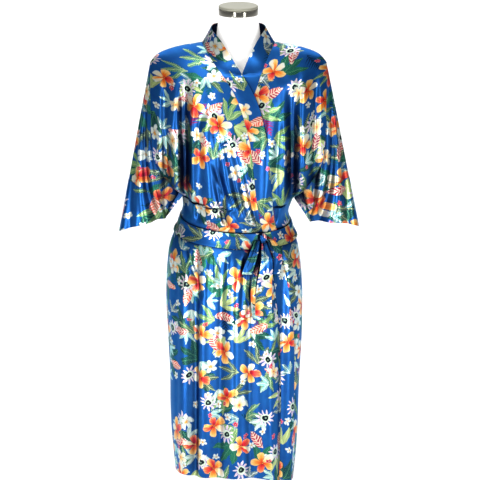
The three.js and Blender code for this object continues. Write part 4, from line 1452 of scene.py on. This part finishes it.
@dataclass
class DressForm:
    """The limbless torso with its neck cap, pole and base."""

    shell: bpy.types.Material
    metal: bpy.types.Material
    lid: bpy.types.Material
    cap_radius: float = 57.0
    cap_bottom: float = 1546.3
    cap_height: float = 16.0
    cap_dome: float = 10.0
    lid_inset: float = 0.3
    base_radius: float = 170.0
    plate_height: float = 10.0
    pole_radius: float = 13.0
    seat: float = 0.3
    rings: int = 150
    around: int = 128

    def torso(self) -> bpy.types.Object:
        """Shapes the torso from a tall cylinder, ring by ring."""
        deselect()
        bpy.ops.mesh.primitive_cylinder_add(vertices=self.around, radius=1.0, depth=2.0, end_fill_type="NGON")
        piece = named("form_shell")
        bpy.ops.object.mode_set(mode="EDIT")
        bpy.ops.mesh.select_all(action="DESELECT")
        bpy.ops.object.mode_set(mode="OBJECT")
        for edge in piece.data.edges:
            a, b = (piece.data.vertices[i].co for i in edge.vertices)
            edge.select = abs(a.z - b.z) > 1
        bpy.ops.object.mode_set(mode="EDIT")
        bpy.ops.mesh.subdivide_edgering(number_cuts=self.rings, interpolation="LINEAR")
        bpy.ops.object.mode_set(mode="OBJECT")
        unit = read_points(piece.data)
        angle = np.arctan2(unit[:, 1], unit[:, 0])
        z = mix(FORM_BOTTOM, FORM_TOP, (unit[:, 2] + 1) / 2)
        power = 2 / FORM.read("corner", z)
        c, s = np.cos(angle), np.sin(angle)
        depth = np.where(s < 0, FORM.read("front", z), FORM.read("back", z))
        x = FORM.read("half", z) * np.sign(c) * np.abs(c) ** power
        y = depth * np.sign(s) * np.abs(s) ** power
        place_points(piece.data, np.stack((x, y, z), axis=-1))
        pick(piece)
        bpy.ops.object.shade_smooth_by_angle(angle=math.radians(40))
        return piece

    def disc(self, name: str, radius: float, bottom: float, height: float, bevel: float) -> bpy.types.Object:
        """Turns a round plate or rod.

        Args:
            name: the piece's name.
            radius: its radius.
            bottom: the height of its underside.
            height: its own height.
            bevel: the rounding of its two edges.

        Returns:
            The finished object.
        """
        deselect()
        size = {"radius": radius * MM, "depth": height * MM}
        middle = (0, 0, (bottom + height / 2) * MM)
        bpy.ops.mesh.primitive_cylinder_add(vertices=self.around, location=middle, **size)
        piece = named(name)
        bpy.ops.object.transform_apply(location=True, rotation=True, scale=True)
        if bevel:
            apply_modifier(piece, "BEVEL", width=bevel * MM, segments=6, limit_method="ANGLE")
        pick(piece)
        bpy.ops.object.shade_smooth_by_angle(angle=math.radians(35))
        return piece

    def build(self) -> None:
        """Builds the form and its stand."""
        dress(self.torso(), self.shell, "form_torso")
        cap = self.disc("cap_band", self.cap_radius, self.cap_bottom, self.cap_height, 1.2)
        dress(cap, self.metal, "neck_cap")
        lid_bottom = self.cap_bottom + self.cap_height + 0.05
        lid = self.disc("cap_lid", self.cap_radius - self.lid_inset, lid_bottom, self.cap_dome, 9.0)
        dress(lid, self.lid, "neck_cap")
        length = FORM_BOTTOM - self.plate_height - 2 * self.seat
        pole = self.disc("pole_tube", self.pole_radius, self.plate_height + self.seat, length, 0.0)
        dress(pole, self.shell, "stand_pole")
        plate = self.disc("base_plate", self.base_radius, 0.0, self.plate_height, 3.0)
        dress(plate, self.shell, "stand_base")


# The studio


@dataclass(frozen=True)
class SoftLight:
    """A lit rectangle: its middle, its width and height, the point that it faces and its power."""

    name: str
    place: tuple[float, float, float]
    size: tuple[float, float]
    aim: tuple[float, float, float]
    power: float

    def hang(self) -> None:
        """Hangs the light and turns it to its point."""
        bpy.ops.object.light_add(type="AREA", location=self.place)
        light = named(self.name)
        light.data.shape = "RECTANGLE"
        light.data.size, light.data.size_y = self.size
        light.data.energy = self.power
        x, y, z = np.array(self.aim) - np.array(self.place)
        light.rotation_euler = (math.atan2(math.hypot(x, y), -z), 0, math.atan2(y, x) - math.pi / 2)


LIGHTS = (
    SoftLight("left_light", (-1.7, -4.4, 1.5), (0.7, 2.6), (0.0, 0.0, 0.9), 74.0),
    SoftLight("right_light", (2.6, -3.6, 1.5), (0.6, 2.4), (0.0, 0.0, 0.9), 60.0),
    SoftLight("top_light", (-0.3, -1.8, 4.0), (2.0, 1.4), (0.0, 0.0, 1.3), 66.0),
    SoftLight("low_left_light", (-1.5, -2.2, 0.35), (0.4, 0.6), (0.0, 0.0, 0.5), 22.0),
    SoftLight("low_right_light", (1.6, -2.1, 0.35), (0.4, 0.6), (0.0, 0.0, 0.5), 19.0),
    SoftLight("floor_light", (0.0, 7.0, 5.0), (14.0, 9.0), (0.0, 7.0, 0.0), 900.0),
)


@dataclass
class Studio:
    """The camera, the pale floor and the soft light."""

    target: tuple[float, float, float] = (0.0046, 0.0, 0.882)
    distance: float = 16.0
    elevation: float = 13.5
    view_width: float = 1.386
    sensor: float = 36.0
    sky: float = 0.17

    def camera(self) -> None:
        """Sets the camera where the picture was taken from."""
        rise = math.radians(self.elevation)
        x, y, z = self.target
        place = (x, y - self.distance * math.cos(rise), z + self.distance * math.sin(rise))
        bpy.ops.object.camera_add(location=place, rotation=(math.pi / 2 - rise, 0, 0))
        camera = named("picture_camera")
        camera.data.sensor_width = self.sensor
        camera.data.lens = self.sensor * self.distance / self.view_width
        camera.data.clip_end = 60
        bpy.context.scene.camera = camera

    def build(self) -> None:
        """Lays the floor and hangs the lights."""
        deselect()
        bpy.ops.mesh.primitive_plane_add(size=44, location=(0, 0, -0.0005))
        floor = named("pale_floor")
        floor.data.materials.append(PlainFinish("floor_paper", (0.82, 0.82, 0.82, 1), 0.9, glow=0.08).build())
        for light in LIGHTS:
            light.hang()
        world = bpy.data.worlds.new("pale_room")
        world.use_nodes = True
        background = world.node_tree.nodes["Background"]
        background.inputs["Color"].default_value = (1, 1, 1, 1)
        background.inputs["Strength"].default_value = self.sky
        bpy.context.scene.world = world
        bpy.context.scene.view_settings.view_transform = "Standard"


def main() -> None:
    """Builds the picture camera, the dress form, the robe, the sash and the studio, in that order."""
    logging.basicConfig(level=logging.INFO, format="%(message)s")
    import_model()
    studio = Studio()
    studio.camera()
    satin = PrintedSatin().build()
    # The white of the form, pole and base is partly painted light: they glow faintly, so that they read paler
    # than the lamps alone make them.
    shell = PlainFinish("form_white_glowing", (0.86, 0.85, 0.83, 1), 0.45, glow=0.22).build()
    metal = PlainFinish("cap_nickel", (0.3, 0.29, 0.25, 1), 0.12, metallic=1.0).build()
    lid = PlainFinish("cap_lid_satin", (0.26, 0.255, 0.2, 1), 0.5, metallic=0.3).build()
    DressForm(shell, metal, lid).build()
    Robe(satin).build()
    Sash(satin).build()
    studio.build()


if __name__ == "__main__":
    main()
